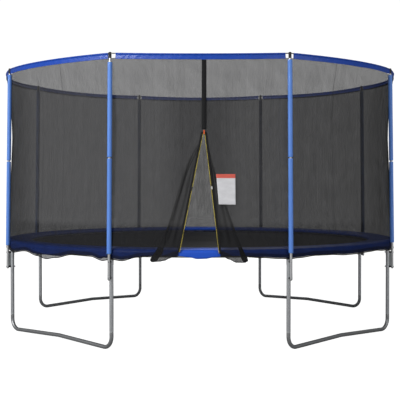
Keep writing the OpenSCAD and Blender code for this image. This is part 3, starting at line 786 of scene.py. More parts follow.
class Bench:
    """Modelling moves around Blender's own operators."""

    @staticmethod
    def take(*objects: bpy.types.Object) -> None:
        """Selects these objects alone, or nothing, and makes the first one active."""
        bpy.ops.object.select_all(action="DESELECT")
        for obj in objects:
            obj.select_set(True)
        if objects:
            bpy.context.view_layer.objects.active = objects[0]

    @staticmethod
    def twin(obj: bpy.types.Object) -> bpy.types.Object:
        """Copy of a piece with a mesh of its own."""
        made = obj.copy()
        made.data = obj.data.copy()
        bpy.context.scene.collection.objects.link(made)
        return made

    @staticmethod
    def join(pieces: Sequence[bpy.types.Object], name: str) -> bpy.types.Object:
        """Joins pieces into one of the given name."""
        Bench.take(*pieces)
        if len(pieces) > 1:
            bpy.ops.object.join()
        joined = bpy.context.object
        joined.name = joined.data.name = name
        return joined

    @staticmethod
    def sheet(name: str, columns: int, rows: int, size: tuple[float, float],
              place: Callable[[float, float], Vector]) -> bpy.types.Object:
        """Shapes a primitive grid into a sheet.

        Args:
            name: Name of the new piece.
            columns: Cells along u.
            rows: Cells along v.
            size: Metres of cloth along u and v, for the UV map.
            place: Gives the point of the sheet at (u, v), each from 0 to 1.

        Returns:
            The sheet, whose normals face u cross v.
        """
        Bench.take()
        bpy.ops.mesh.primitive_grid_add(x_subdivisions=columns, y_subdivisions=rows, size=1)
        obj = bpy.context.object
        obj.name = obj.data.name = name
        obj.matrix_world = Matrix.Identity(4)
        for vertex in obj.data.vertices:
            vertex.co = place(vertex.co.x + 0.5, vertex.co.y + 0.5)
        for corner in obj.data.uv_layers[0].data:
            corner.uv = (corner.uv.x * size[0], corner.uv.y * size[1])
        obj.data.uv_layers[0].name = "UVMap"
        bpy.ops.object.shade_smooth()
        return obj

    @staticmethod
    def close(obj: bpy.types.Object, caps: bool = False) -> bpy.types.Object:
        """Merges a rolled-up sheet's seams and turns its faces outwards.

        Args:
            obj: The piece.
            caps: Whether open ends are filled as well.

        Returns:
            The same piece, closed.
        """
        Bench.take(obj)
        bpy.ops.object.mode_set(mode="EDIT")
        bpy.ops.mesh.select_all(action="SELECT")
        bpy.ops.mesh.remove_doubles(threshold=0.00002)
        if caps:
            bpy.ops.mesh.select_all(action="DESELECT")
            bpy.ops.mesh.select_non_manifold(extend=False, use_wire=False)
            bpy.ops.mesh.edge_face_add()
            bpy.ops.mesh.select_all(action="SELECT")
        bpy.ops.mesh.normals_make_consistent(inside=False)
        bpy.ops.object.mode_set(mode="OBJECT")
        return obj

    @staticmethod
    def block(name: str, size: Sequence[float], middle: Sequence[float],
              bevel: float, segments: int = 2) -> bpy.types.Object:
        """Bevelled block.

        Args:
            name: Name of the piece.
            size: Its three sides.
            middle: Its centre.
            bevel: Width of its bevelled edges.
            segments: Faces across each bevel.

        Returns:
            The piece, with its place in its mesh.
        """
        Bench.take()
        bpy.ops.mesh.primitive_cube_add(size=1, location=middle, scale=size)
        obj = bpy.context.object
        obj.name = obj.data.name = name
        bpy.ops.object.transform_apply(location=True, rotation=True, scale=True)
        bpy.ops.object.mode_set(mode="EDIT")
        bpy.ops.mesh.select_all(action="SELECT")
        bpy.ops.mesh.bevel(offset=bevel, segments=segments, affect="EDGES")
        bpy.ops.object.mode_set(mode="OBJECT")
        bpy.ops.object.shade_smooth_by_angle(angle=math.radians(40))
        return obj

    @staticmethod
    def modifier(obj: bpy.types.Object, kind: str, **settings: object) -> None:
        """Adds a modifier with its settings and applies it."""
        Bench.take(obj)
        bpy.ops.object.modifier_add(type=kind)
        added = obj.modifiers[-1]
        for key, value in settings.items():
            setattr(added, key, value)
        bpy.ops.object.modifier_apply(modifier=added.name)

    @staticmethod
    def copies(obj: bpy.types.Object, places: Sequence[Matrix], name: str) -> bpy.types.Object:
        """Joins one copy of a piece for each place.

        Args:
            obj: The model, which is used up.
            places: Where each copy goes.
            name: Name of the joined piece.

        Returns:
            The joined piece.
        """
        made = []
        for place in places:
            made.append(Bench.twin(obj))
            made[-1].data.transform(place)
        bpy.data.objects.remove(obj)
        return Bench.join(made, name)

    @staticmethod
    def settle(obj: bpy.types.Object, finish: Finish, body: str, slot: str,
               *replaced: str) -> None:
        """Gives a piece its finish and its body, and hides the nodes it stands for."""
        if not obj.data.materials:
            obj.data.materials.append(finish.material())
        if body:
            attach(obj, body)
        if replaced:
            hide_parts(*replaced)
        LOG.info("%s: %d faces", obj.name, len(obj.data.polygons))


# ---- Solids that stay ----


@dataclass
class Ironwork:
    """Carried-over solids and their finishes."""

    frame: dict
    finishes: dict[str, Finish] = field(default_factory=lambda: {
        "top_rail": GALVANISED, "leg_base": SHADED_BASE_TUBE, "leg_upright": GALVANISED,
        "pole_caps": BLACK_PLASTIC, "pole_spacers": BLACK_PLASTIC,
        "pole_brackets": BRACKET, "pole_bolts": ZINC, "pole_nuts": ZINC,
        "rail_screws": ZINC, "ring_rods": GLASS_FIBRE, "pole_": POLE_TUBE,
        "zip_slider": DARK_METAL, "buckle_plug": BLACK_PLASTIC,
        "buckle_socket": GREY_PLASTIC, "mat_rings": ZINC})

    def dress(self) -> None:
        """Puts the finish of its kind on each solid."""
        for name, obj in self.frame["nodes"].items():
            for start, finish in self.finishes.items():
                if name.startswith(start):
                    obj.data.materials.clear()
                    obj.data.materials.append(finish.material())
                    break


# ---- Posts ----


@dataclass
class Posts:
    """Foam sleeves round the net poles."""

    around: int = 36
    rings: int = 40
    wall_gap: float = 0.0002
    lip: float = 0.0022
    dent: float = 0.0006
    # Metres by which single sleeves end short, by pole number.
    cut_above: dict[int, float] = field(default_factory=lambda: {8: 0.024})
    cut_below: dict[int, float] = field(default_factory=lambda: {1: 0.008, 2: 0.030})

    def sleeve(self, name: str, z1: float, z2: float) -> bpy.types.Object:
        """Models one sleeve on the Z axis.

        Args:
            name: Name of the piece.
            z1: Height of its lower end.
            z2: Height of its upper end.

        Returns:
            A closed tube with rounded ends and slight dents.
        """
        outer, inner = PLAN.foam_r, PLAN.pole_r + self.wall_gap
        profile = [(inner, z1 + self.lip), (inner + self.lip, z1),
                   (outer - self.lip, z1), (outer, z1 + self.lip)]
        profile += [(outer, lerp(z1 + 0.01, z2 - 0.01, i / self.rings))
                    for i in range(self.rings + 1)]
        profile += [(outer, z2 - self.lip), (outer - self.lip, z2),
                    (inner + self.lip, z2), (inner, z2 - self.lip), (inner, z1 + self.lip)]

        def place(u: float, v: float) -> Vector:
            r, z = section(profile, v)
            a = u * 2 * math.pi
            if r == outer:
                r -= self.dent * (1 + wander(math.cos(a) * 1.5, math.sin(a) * 1.5, z * 9))
            return Vector((r * math.cos(a), r * math.sin(a), z))

        obj = Bench.sheet(name, self.around, len(profile) - 1,
                          (2 * math.pi * outer, z2 - z1 + 2 * outer), place)
        return Bench.close(obj)

    def press(self, obj: bpy.types.Object) -> None:
        """Presses the sleeves flat where the net passes behind them."""
        for vertex in obj.data.vertices:
            x, y, z = vertex.co
            r = math.hypot(x, y)
            if z < PLAN.door_z:
                least = PLAN.net_r(0.0, z) + PLAN.seam_gap
                if r < least:
                    vertex.co.x *= least / r
                    vertex.co.y *= least / r

    def build(self) -> None:
        """Models both rows of sleeves."""
        spans = {
            "foam_sleeves_lower": (PLAN.foam_bottom_z, PLAN.pole_split_z - PLAN.foam_gap / 2),
            "foam_sleeves_upper": (PLAN.pole_split_z + PLAN.foam_gap / 2,
                                   PLAN.pole_top_z - PLAN.foam_top_gap)}
        for node, (z1, z2) in spans.items():
            upper = z1 > PLAN.pole_split_z
            places = []
            for i in SIDES:
                low = z1 + (0.0 if upper else self.cut_below.get(i, 0.0))
                high = z2 - (self.cut_above.get(i, 0.0) if upper else 0.0)
                places.append(PLAN.pole_frame(side_az(i)) @ Matrix.Rotation(i * 0.7, 4, "Z")
                              @ Matrix.Translation((0, 0, low))
                              @ Matrix.Diagonal((1, 1, (high - low) / (z2 - z1), 1))
                              @ Matrix.Translation((0, 0, -z1)))
            obj = Bench.copies(self.sleeve(node + "_foam", z1, z2), places, node + "_foam")
            self.press(obj)
            Bench.settle(obj, FOAM, "frame", "foam", node)


# ---- Top ring ----


@dataclass
class RingBands:
    """Sewn cloth bands that hang from the rods."""

    along: int = 220
    cloth: float = 0.0010
    fit: float = 0.0003
    layer_gap: float = 0.0008
    pucker: float = 0.0022
    sway: float = 0.0025
    # Bare rod at both ends of a band, by bay number.
    gaps: dict[int, tuple[float, float]] = field(default_factory=lambda: {
        0: (0.058, 0.046), 1: (0.036, 0.030), 7: (0.030, 0.018)})

    def profile(self) -> list[tuple[float, float]]:
        """Outline of a band's cloth, outward and upward of the rod's axis."""
        r = PLAN.rod_r + self.fit + self.cloth / 2
        half = self.layer_gap
        meet = math.degrees(math.acos(half / r))
        arc = [(r * math.cos(math.radians(a)), r * math.sin(math.radians(a)))
               for a in [lerp(180 + meet, -meet, i / 14) for i in range(15)]]
        drops = [0.048, 0.046, 0.040, 0.032, 0.024, 0.016]
        return ([(-half, -d) for d in drops] + arc + [(half, -d) for d in reversed(drops)])

    def build(self) -> None:
        """Models the eight bands with their puckers."""
        radius = PLAN.ring_pole_r
        outline = self.profile()
        bands = []
        for bay in range(8):
            gaps = self.gaps.get(bay, (PLAN.band_gap, PLAN.band_gap))
            first = -HALF_BAY + math.degrees(gaps[0] / radius)
            last = HALF_BAY - math.degrees(gaps[1] / radius)
            tilt = PLAN.rod_tilt(BAY * bay)
            length = math.radians(last - first) * radius

            def place(u: float, v: float) -> Vector:
                out, up = section(outline, v)
                a = lerp(first, last, u)
                s = math.radians(a) * radius - up * 0.8
                drop = min(1.0, max(0.0, -up / PLAN.band_drop))
                end = ease(0, 0.03, u) * ease(0, 0.03, 1 - u)
                gather = 1 + 0.9 * (1 - ease(0, 0.10, u)) + 0.5 * (1 - ease(0, 0.08, 1 - u))
                pucker = wander(s * 34, bay * 7.3, up * 20) + 0.5 * wander(s * 90, bay * 3.1, 2)
                swell = max(0.0, pucker + 0.4) * gather * self.pucker * end
                swell *= 1 if out > 0 else 0.15
                sway = wander(s * 5, bay * 5.7, 1) + 0.4 * wander(s * 40, bay, 9)
                out, up = out + math.copysign(swell, out), up + self.sway * drop * sway * end
                return spot(a, radius + out * math.cos(tilt) - up * math.sin(tilt),
                            out * math.sin(tilt) + up * math.cos(tilt))

            obj = Bench.sheet(f"band_{bay}", self.along, len(outline) - 1, (length, 0.125),
                              place)
            obj.data.transform(PLAN.rod_frame(BAY * bay))
            Bench.modifier(obj, "SOLIDIFY", thickness=self.cloth, offset=0.0)
            bands.append(obj)
        band = Bench.join(bands, "ring_band_cloth")
        Bench.settle(band, BAND_CLOTH, "frame", "blue_cover", "ring_bands")
        round(2 * math.pi * radius - 16 * PLAN.band_gap, 2)


# ---- Net ----

# Azimuth and height of points on the front half of the lower edge.
HEM_FRONT = (
    (-67.5, 0.836), (-63.8, 0.824), (-53.8, 0.858), (-47.5, 0.826), (-43.7, 0.806),
    (-39.9, 0.824), (-33.9, 0.862), (-28.2, 0.857), (-24.6, 0.822), (-23.2, 0.830),
    (-22.5, 0.838), (-21.6, 0.834), (-19.5, 0.826), (-15.3, 0.862), (-12.4, 0.872),
    (0.0, 0.874), (11.8, 0.866), (15.0, 0.858), (20.0, 0.846), (22.5, 0.840), (25.0, 0.847),
    (30.0, 0.862), (35.0, 0.861), (40.0, 0.850), (45.0, 0.851), (50.0, 0.858),
    (55.0, 0.862), (60.0, 0.850), (65.0, 0.840), (67.5, 0.836))


class Side(Enum):
    """Side of the door, with the sign of its X."""

    LEFT = -1
    RIGHT = 1

    @property
    def word(self) -> str:
        """The side's name in the names of its pieces."""
        return self.name.lower()

    @property
    def door(self) -> str:
        """Body of the side's zip tape."""
        return f"door_{self.word}"

    def pick(self, pair: tuple[T, T]) -> T:
        """This side's value of a left and right pair."""
        return pair[0] if self is Side.LEFT else pair[1]


def hem_z(az: float) -> float:
    """Height of the net's wavy lower edge."""
    turned = wrapped(az)
    if abs(turned) <= HEM_FRONT[-1][0]:
        return table_value(HEM_FRONT, turned)
    pole_z, free_z, most = 0.836, 0.842, 0.022
    pole = ease(0.4, 2.5, HALF_BAY - abs(bay_rel(az)))
    wave = wander(turned * 0.16, 4.2) * 0.034 + wander(turned * 0.5, 8.1) * 0.010
    return lerp(pole_z, free_z + max(-most, min(most, wave)), pole)


def door_drop(z: float) -> float:
    """Share of the way down from the zip's upper end to the net's lower edge."""
    return max(0.0, (PLAN.door_z - z) / (PLAN.door_z - PLAN.net_bottom_z))


def edge_x(side: Side, z: float) -> float:
    """X of the slanting edge that a flap hangs from.

    Args:
        side: The flap's side.
        z: Height.

    Returns:
        X with an inward bow, a left belly that starts below the flap's upper end, and a
        flare at the foot.
    """
    belly_start, belly_scale = 0.086, 9.48
    t = door_drop(z)
    bow = side.pick((-0.016, -0.020)) * 4 * t * (1 - t)
    low = max(0.0, (t - belly_start) / (1 - belly_start))
    bow += side.pick((0.052, 0.0)) * belly_scale * low * (1 - low) ** 3
    flare = side.pick((0.050 * t**9, 0.022 * t**20))
    return PLAN.door_x + side.value * (t * side.pick(PLAN.flap_reach) + bow + flare)


def edge_az(side: Side, z: float) -> float:
    """Azimuth of the slanting edge."""
    return math.degrees(math.asin(edge_x(side, z) / PLAN.net_r(0.1, z)))


def net_folds(az: float, z: float, pleat: float) -> float:
    """Inward depth of the net's upright folds.

    Args:
        az: Azimuth.
        z: Height.
        pleat: Depth of the fine pleats in metres.

    Returns:
        Metres towards the axis.
    """
    ripple_pitch, pleat_pitch, ripple_depth, swell_depth, taut_depth = (
        0.085, 0.030, 0.0042, 0.006, 0.024)
    rel = bay_rel(az)
    pole = ease(0.5, 3.2, HALF_BAY - abs(rel))
    low = ease(PLAN.knee_z + 0.01, PLAN.knee_z + 0.22, z)
    top = 1 - ease(PLAN.net_top_z - 0.18, PLAN.net_top_z - 0.03, z)
    s = math.radians(az) * PLAN.frame_r
    drift = wander(az * 0.09, z * 1.1) * 0.05 + wander(az * 0.3, z * 2.3, 5) * 0.012
    ripple = 0.5 + 0.5 * math.sin((s + drift) * 2 * math.pi / ripple_pitch)
    strength = 0.45 + 0.55 * ease(-0.3, 0.5, wander(az * 0.12, z * 0.7, 3))
    swell = 0.5 + 0.5 * wander(az * 0.05, z * 0.8, 11)
    fine = 1 + math.sin((s + 0.4 * drift) * 2 * math.pi / pleat_pitch)
    fine *= 0.55 + 0.45 * wander(az * 0.4, z * 0.9, 17)
    taut = 0.0
    if abs(wrapped(az)) > HALF_BAY:
        taut = taut_depth * (1 - (rel / HALF_BAY) ** 2)
        taut *= ease(PLAN.knee_z, 1.30, z) * (1 - ease(2.35, PLAN.net_top_z, z))
    return taut + pole * top * low * (ripple_depth * ripple * strength + pleat * fine
                                      + swell_depth * swell)


@dataclass
class Net:
    """Enclosure net in five sewn parts, with a corded hem."""

    cell: float = 0.13
    front_columns: int = 150
    rows: int = 44
    pleat: float = 0.0020
    hem_r: float = 0.0042

    def point(self, az: float, v: float) -> Vector:
        """Point of the net at an azimuth and a share of its height."""
        z = lerp(hem_z(az), PLAN.net_top_z, v)
        return spot(az, PLAN.net_r(az, z) - PLAN.net_t / 2 - net_folds(az, z, self.pleat), z)

    def bay(self, node: str, az1: float, az2: float, finish: Finish) -> None:
        """One sewn part between two azimuths."""
        width = math.radians(az2 - az1) * PLAN.frame_r
        height = PLAN.net_top_z - PLAN.net_bottom_z

        def place(u: float, v: float) -> Vector:
            return self.point(lerp(az1, az2, u), v)

        obj = Bench.sheet(node + "_cloth", round((az2 - az1) / self.cell), self.rows,
                          (width, height), place)
        Bench.settle(obj, finish, "frame", "net", node)

    def front(self, side: Side) -> None:
        """Fixed part of the front bay, from a pole to the slanting edge."""
        pole_az = side.value * HALF_BAY

        def place(u: float, v: float) -> Vector:
            share = u if side is Side.LEFT else 1 - u
            az = lerp(pole_az, edge_az(side, PLAN.net_bottom_z), share)
            z = lerp(hem_z(az), PLAN.net_top_z, v)
            az = lerp(pole_az, edge_az(side, z), share)
            slack = net_folds(az, z, self.pleat * 0.7) * ease(0, 0.2, 1 - share)
            return spot(az, PLAN.net_r(az, z) - PLAN.net_t / 2 - slack, z)

        height = PLAN.net_top_z - PLAN.net_bottom_z
        node = f"net_front_{side.word}"
        obj = Bench.sheet(node + "_cloth", self.front_columns, self.rows, (0.84, height), place)
        Bench.settle(obj, FRONT_NET, "frame", "net", node)

    def hem(self) -> None:
        """Cord sewn into the lower edge, from one side of the door to the other."""
        start = edge_az(Side.RIGHT, PLAN.net_bottom_z)
        end = 360 + edge_az(Side.LEFT, PLAN.net_bottom_z)
        steps = 720

        def place(u: float, v: float) -> Vector:
            az = lerp(start, end, u)
            a = v * 2 * math.pi
            lump = 1 + 0.12 * wander(az * 3, v * 3)
            return spot(az, PLAN.low_r - PLAN.net_t / 2 + self.hem_r * math.cos(a) * 0.75 * lump,
                        hem_z(az) + self.hem_r * math.sin(a) * lump)

        size = (math.radians(end - start) * PLAN.low_r, 0.026)
        obj = Bench.close(Bench.sheet("net_hem", steps, 8, size, place), caps=True)
        Bench.settle(obj, HEM, "frame", "hem_cord", "net_hem_cord")

    def build(self) -> None:
        """Models every part."""
        self.bay("net_left", -HALF_BAY - 2 * BAY, -HALF_BAY, NET)
        self.bay("net_rear", HALF_BAY + 2 * BAY, HALF_BAY + 5 * BAY, NET)
        self.bay("net_right", HALF_BAY, HALF_BAY + 2 * BAY, NET)
        for side in Side:
            self.front(side)
        self.hem()


# ---- Door ----


@dataclass
class Door:
    """Unzipped door: two flaps, zip, strap, pull and patch."""

    rows: int = 60
    columns: int = 60
    flap_top_z: float = 1.900
    crease: float = 0.2
    layer: float = 0.0028
    ripple: float = 0.009
    # Share of the drop and depth of the fold, left and right.
    fold: tuple[Table, Table] = (
        ((0.0, 0.004), (0.08, 0.016), (0.2, 0.032), (0.4, 0.030), (0.6, 0.020), (0.8, 0.018),
         (0.9, 0.054), (0.94, 0.070), (1.0, 0.075)),
        ((0.0, 0.004), (0.08, 0.016), (0.2, 0.034), (0.4, 0.030), (0.6, 0.022), (0.8, 0.018),
         (0.92, 0.037), (1.0, 0.062)))
    # Distance from the slanting edge and height of the hem, left and right.
    scoop: tuple[Table, Table] = (
        ((0.0, 0.850), (0.015, 0.833), (0.035, 0.825), (0.094, 0.831), (0.138, 0.840),
         (0.174, 0.860), (0.200, 0.872), (0.270, 0.876)),
        ((0.0, 0.850), (0.014, 0.831), (0.050, 0.820), (0.120, 0.822), (0.175, 0.852),
         (0.215, 0.870), (0.270, 0.876)))
    tooth: tuple[float, float, float] = (0.0052, 0.0014, 0.0021)
    tooth_pitch: float = 0.0034
    patch_gap: float = 0.022
    patch_turn: float = 6.2

    def tape_frame(self, side: Side) -> Matrix:
        """Frame of a zip tape: X runs away from the zip and -Z down it."""
        tilt = math.radians(side.pick(PLAN.zip_open))
        turned = PLAN.door_frame() @ Matrix.Rotation(-side.value * tilt, 4, "Y")
        return turned @ Matrix.Diagonal((side.value, 1, 1, 1))

    def drape(self, side: Side, share: float, z: float) -> tuple[float, float, float]:
        """Way of a flap's net from its slanting edge, twice folded, to its tape.

        Args:
            side: The flap's side.
            share: Share of the net's width, counted from the edge.
            z: Height.

        Returns:
            Distance from the edge, width of the flap and depth behind the front net.
        """
        t = door_drop(z)
        near = PLAN.door_x + side.value * (
            (PLAN.door_z - z) * math.tan(math.radians(side.pick(PLAN.zip_open)))
            + PLAN.tape_w / 2)
        width = abs(edge_x(side, z) - near)
        fold = min(table_value(side.pick(self.fold), t), 0.7 * width)
        if share < self.crease:
            out = fold * share / self.crease
        elif share < 2 * self.crease:
            out = fold * (2 - share / self.crease)
        else:
            out = width * (share - 2 * self.crease) / (1 - 2 * self.crease)
        turns = ease(0.7, 1.3, share / self.crease) + ease(1.7, 2.3, share / self.crease)
        side_on = lerp(-0.5, 1.0, ease(0.93, 1.02, z))
        return out, width, self.layer * turns * side_on * (1 - ease(0.6, 1.0, share))

    def flap(self, side: Side) -> None:
        """Loose net that hangs between a slanting edge and a zip tape."""
        weights: list[float] = []

        def place(u: float, v: float) -> Vector:
            share = u if side is Side.LEFT else 1 - u
            hem = table_value(side.pick(self.scoop), self.drape(side, share, 0.84)[0])
            z = lerp(hem, self.flap_top_z, v)
            out, width, depth = self.drape(side, share, z)
            x = edge_x(side, z) - side.value * out
            weight = min(1.0, out / width)
            weights.append(weight)
            y = lerp(-math.sqrt(PLAN.net_r(0.1, z) ** 2 - x * x),
                     max(PLAN.door_y(z), -PLAN.low_r), ease(0.0, 1.0, weight))
            loose = (ease(0.1, 0.4, door_drop(z)) * ease(0.94, 1.05, z)
                     * ease(0, 0.25, weight) * ease(0, 0.2, 1 - weight))
            ripple = 0.5 + 0.5 * math.sin(weight * 15 + z * 2 + 2 * wander(weight * 2, z * 2))
            return Vector((x, y + PLAN.net_t / 2 + depth + self.ripple * ripple * loose, z))

        node = f"door_flap_{side.word}"
        obj = Bench.sheet(node + "_cloth", self.columns, self.rows, (0.40, 1.066), place)
        Bench.settle(obj, FLAP_NET, "", "net", node)
        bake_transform(obj, "frame", side.door, start=(edge_x(side, 1.0), 0, 1.0),
                 end=(PLAN.door_x + side.value
                      * math.tan(math.radians(side.pick(PLAN.zip_open))), 0, 1.0))
        obj.data.attributes["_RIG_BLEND"].data.foreach_set("value", weights)

    def flap_rim(self, side: Side) -> None:
        """Hem tube along a flap's lower edge."""
        cloth = bpy.data.objects[f"door_flap_{side.word}_cloth"].data
        row = [cloth.vertices[i].co.copy() for i in range(self.columns + 1)]
        held = [cloth.attributes["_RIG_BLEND"].data[i].value for i in range(self.columns + 1)]
        weights: list[float] = []
        r = Net.hem_r

        def place(u: float, v: float) -> Vector:
            i = round(u * self.columns)
            a = v * 2 * math.pi
            weights.append(held[i])
            return row[i] + Vector((0, 0.7 * r * math.cos(a), r * math.sin(a)))

        obj = Bench.sheet(f"flap_rim_{side.word}", self.columns, 8, (0.4, 0.026), place)
        Bench.settle(obj, HEM, "", "hem_cord")
        ends = (row[0], row[-1]) if side is Side.LEFT else (row[-1], row[0])
        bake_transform(obj, "frame", side.door, start=ends[0], end=ends[1])
        obj.data.attributes["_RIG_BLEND"].data.foreach_set("value", weights)

    def tape(self, side: Side) -> None:
        """Woven zip tape with a rounded outer edge."""
        near = 0.0005
        far = near + PLAN.tape_w
        front, back = -PLAN.seam_gap - PLAN.tape_t, -PLAN.seam_gap
        outline = [(near, back), (near, front), (lerp(near, far, 0.33), front),
                   (lerp(near, far, 0.66), front + 0.0003), (far - 0.001, front + 0.0006),
                   (far, (front + back) / 2), (far - 0.001, back), (near, back)]
        length = PLAN.zip_len - PLAN.zip_start

        def place(u: float, v: float) -> Vector:
            x, y = section(outline, u)
            z = lerp(-PLAN.zip_len, -PLAN.zip_start, v)
            wave = 0.0007 * wander(z * 9, side.value * 3.0) * ease(0.3, 1.0, x / far)
            return Vector((x + wave, y, z))

        node = f"zip_tape_{side.word}"
        obj = Bench.sheet(node + "_cloth", len(outline) - 1, 120, (2 * PLAN.tape_w, length),
                          place)
        obj.data.transform(self.tape_frame(side))
        Bench.close(obj, caps=True)
        Bench.settle(obj, TAPE_WEBBING, side.door, "zip_tape", node)

    def teeth(self, side: Side) -> None:
        """Row of teeth along a tape's inner edge."""
        x, y, z = self.tooth
        name = f"zip_teeth_{side.word}"
        model = Bench.block(name, (x, y, z),
                            (0.0004 + x / 2, -PLAN.seam_gap - PLAN.tape_t - y / 2 + 0.0001,
                             -PLAN.zip_len + 0.004), 0.0003, segments=1)
        shift = self.tooth_pitch / 2 if side is Side.RIGHT else 0.0
        count = int((PLAN.zip_len - PLAN.zip_start - 0.008) / self.tooth_pitch)
        frame = self.tape_frame(side)
        obj = Bench.copies(model, [
            frame @ Matrix.Translation((0, 0, shift + i * self.tooth_pitch))
            for i in range(count)], name)
        Bench.close(obj)
        Bench.settle(obj, TEETH, side.door, "zip_tape")

    def strap(self) -> None:
        """Webbing strap from the band down to the zip."""
        top_z = PLAN.band_bottom_z - PLAN.door_sag - 0.001
        foot_z = PLAN.door_z + 0.012
        lean = math.atan((PLAN.net_r(1.0, top_z) - PLAN.waist_r) / (top_z - PLAN.door_z))
        half, t = PLAN.strap_w / 2, PLAN.tape_t
        flat = half - 0.0008
        outline = [(-half, -t / 2), (-flat, -t), (0.0, -t), (flat, -t), (half, -t / 2),
                   (flat, 0.0), (0.0, 0.0), (-flat, 0.0), (-half, -t / 2)]
        length = (top_z - foot_z) / math.cos(lean)

        def place(u: float, v: float) -> Vector:
            x, y = section(outline, u)
            z = foot_z - PLAN.door_z + v * length
            sway = 0.0012 * wander(z * 6, x * 20, 3) * ease(0, 0.2, v) * ease(0, 0.2, 1 - v)
            return Vector((x, y - abs(sway), z))

        obj = Bench.sheet("door_strap_webbing", len(outline) - 1, 80,
                          (2 * PLAN.strap_w, length), place)
        obj.data.transform(Matrix.Translation((PLAN.door_x, -PLAN.waist_r - PLAN.seam_gap,
                                               PLAN.door_z))
                           @ Matrix.Rotation(lean, 4, "X"))
        Bench.close(obj, caps=True)
        Bench.settle(obj, BLACK_WEBBING, "frame", "webbing", "door_strap")

    def pull(self) -> None:
        """Webbing loop folded round the slider's pin."""
        pin_y = -0.0119
        half_w, t, leg, eye = 0.006, 0.0010, 0.034, 0.0029
        legs = [(0.0013, -leg * 0.3), (0.0012, -leg * 0.6), (0.0011, -leg)]
        path = ([(-y, z) for y, z in reversed(legs)]
                + [(eye * math.sin(math.radians(a)), eye * math.cos(math.radians(a)))
                   for a in range(-150, 151, 25)] + legs)

        def place(u: float, v: float) -> Vector:
            y, z = section(path, v)
            return Vector((lerp(half_w, -half_w, u), pin_y + y, z))

        obj = Bench.sheet("zip_pull_loop", 6, len(path) - 1, (2 * half_w, 0.085), place)
        obj.data.transform(PLAN.door_frame())
        Bench.modifier(obj, "SOLIDIFY", thickness=t, offset=0.0)
        Bench.modifier(obj, "BEVEL", width=0.0003, segments=2)
        Bench.settle(obj, PULL_WEBBING, "pull", "pull_tab", "zip_pull")

    def patch(self) -> None:
        """Blank patch with softly curled lower corners."""
        left = (PLAN.door_x + (PLAN.door_z - PLAN.patch_z)
                * math.tan(math.radians(PLAN.zip_open[1])) + PLAN.tape_w
                + self.patch_gap)
        lift = -PLAN.door_y(PLAN.patch_z) - PLAN.seam_gap

        def place(u: float, v: float) -> Vector:
            x, z = u * PLAN.patch_w, (v - 0.5) * PLAN.patch_h
            low = 1 - v
            x += 0.022 * low * (1 - u) ** 1.5
            curl = 0.007 * low**2 * (1 - u) ** 2 + 0.004 * low**2 * u**3
            wave = 0.0016 * math.sin(v * 7 + 1) * low + 0.0010 * wander(u * 3, v * 4, 6)
            return Vector((x, -0.0006 - curl - abs(wave), z + 0.003 * low * (1 - u)))

        obj = Bench.sheet("door_patch_cloth", 24, 36, (PLAN.patch_w, PLAN.patch_h), place)
        obj.data.transform(Matrix.Translation((left, -lift, PLAN.patch_z))
                           @ Matrix.Rotation(math.radians(self.patch_turn), 4, "Z")
                           @ Matrix.Rotation(-math.atan(PLAN.door_slope), 4, "X"))
        Bench.modifier(obj, "SOLIDIFY", thickness=0.0010, offset=0.0)
        Bench.settle(obj, CARD, "frame", "patch", "door_patch")

    def build(self) -> None:
        """Models every part of the door."""
        for side in Side:
            self.flap(side)
            self.flap_rim(side)
            self.tape(side)
            self.teeth(side)
        self.strap()
        self.pull()
        self.patch()


# ---- Bed ----


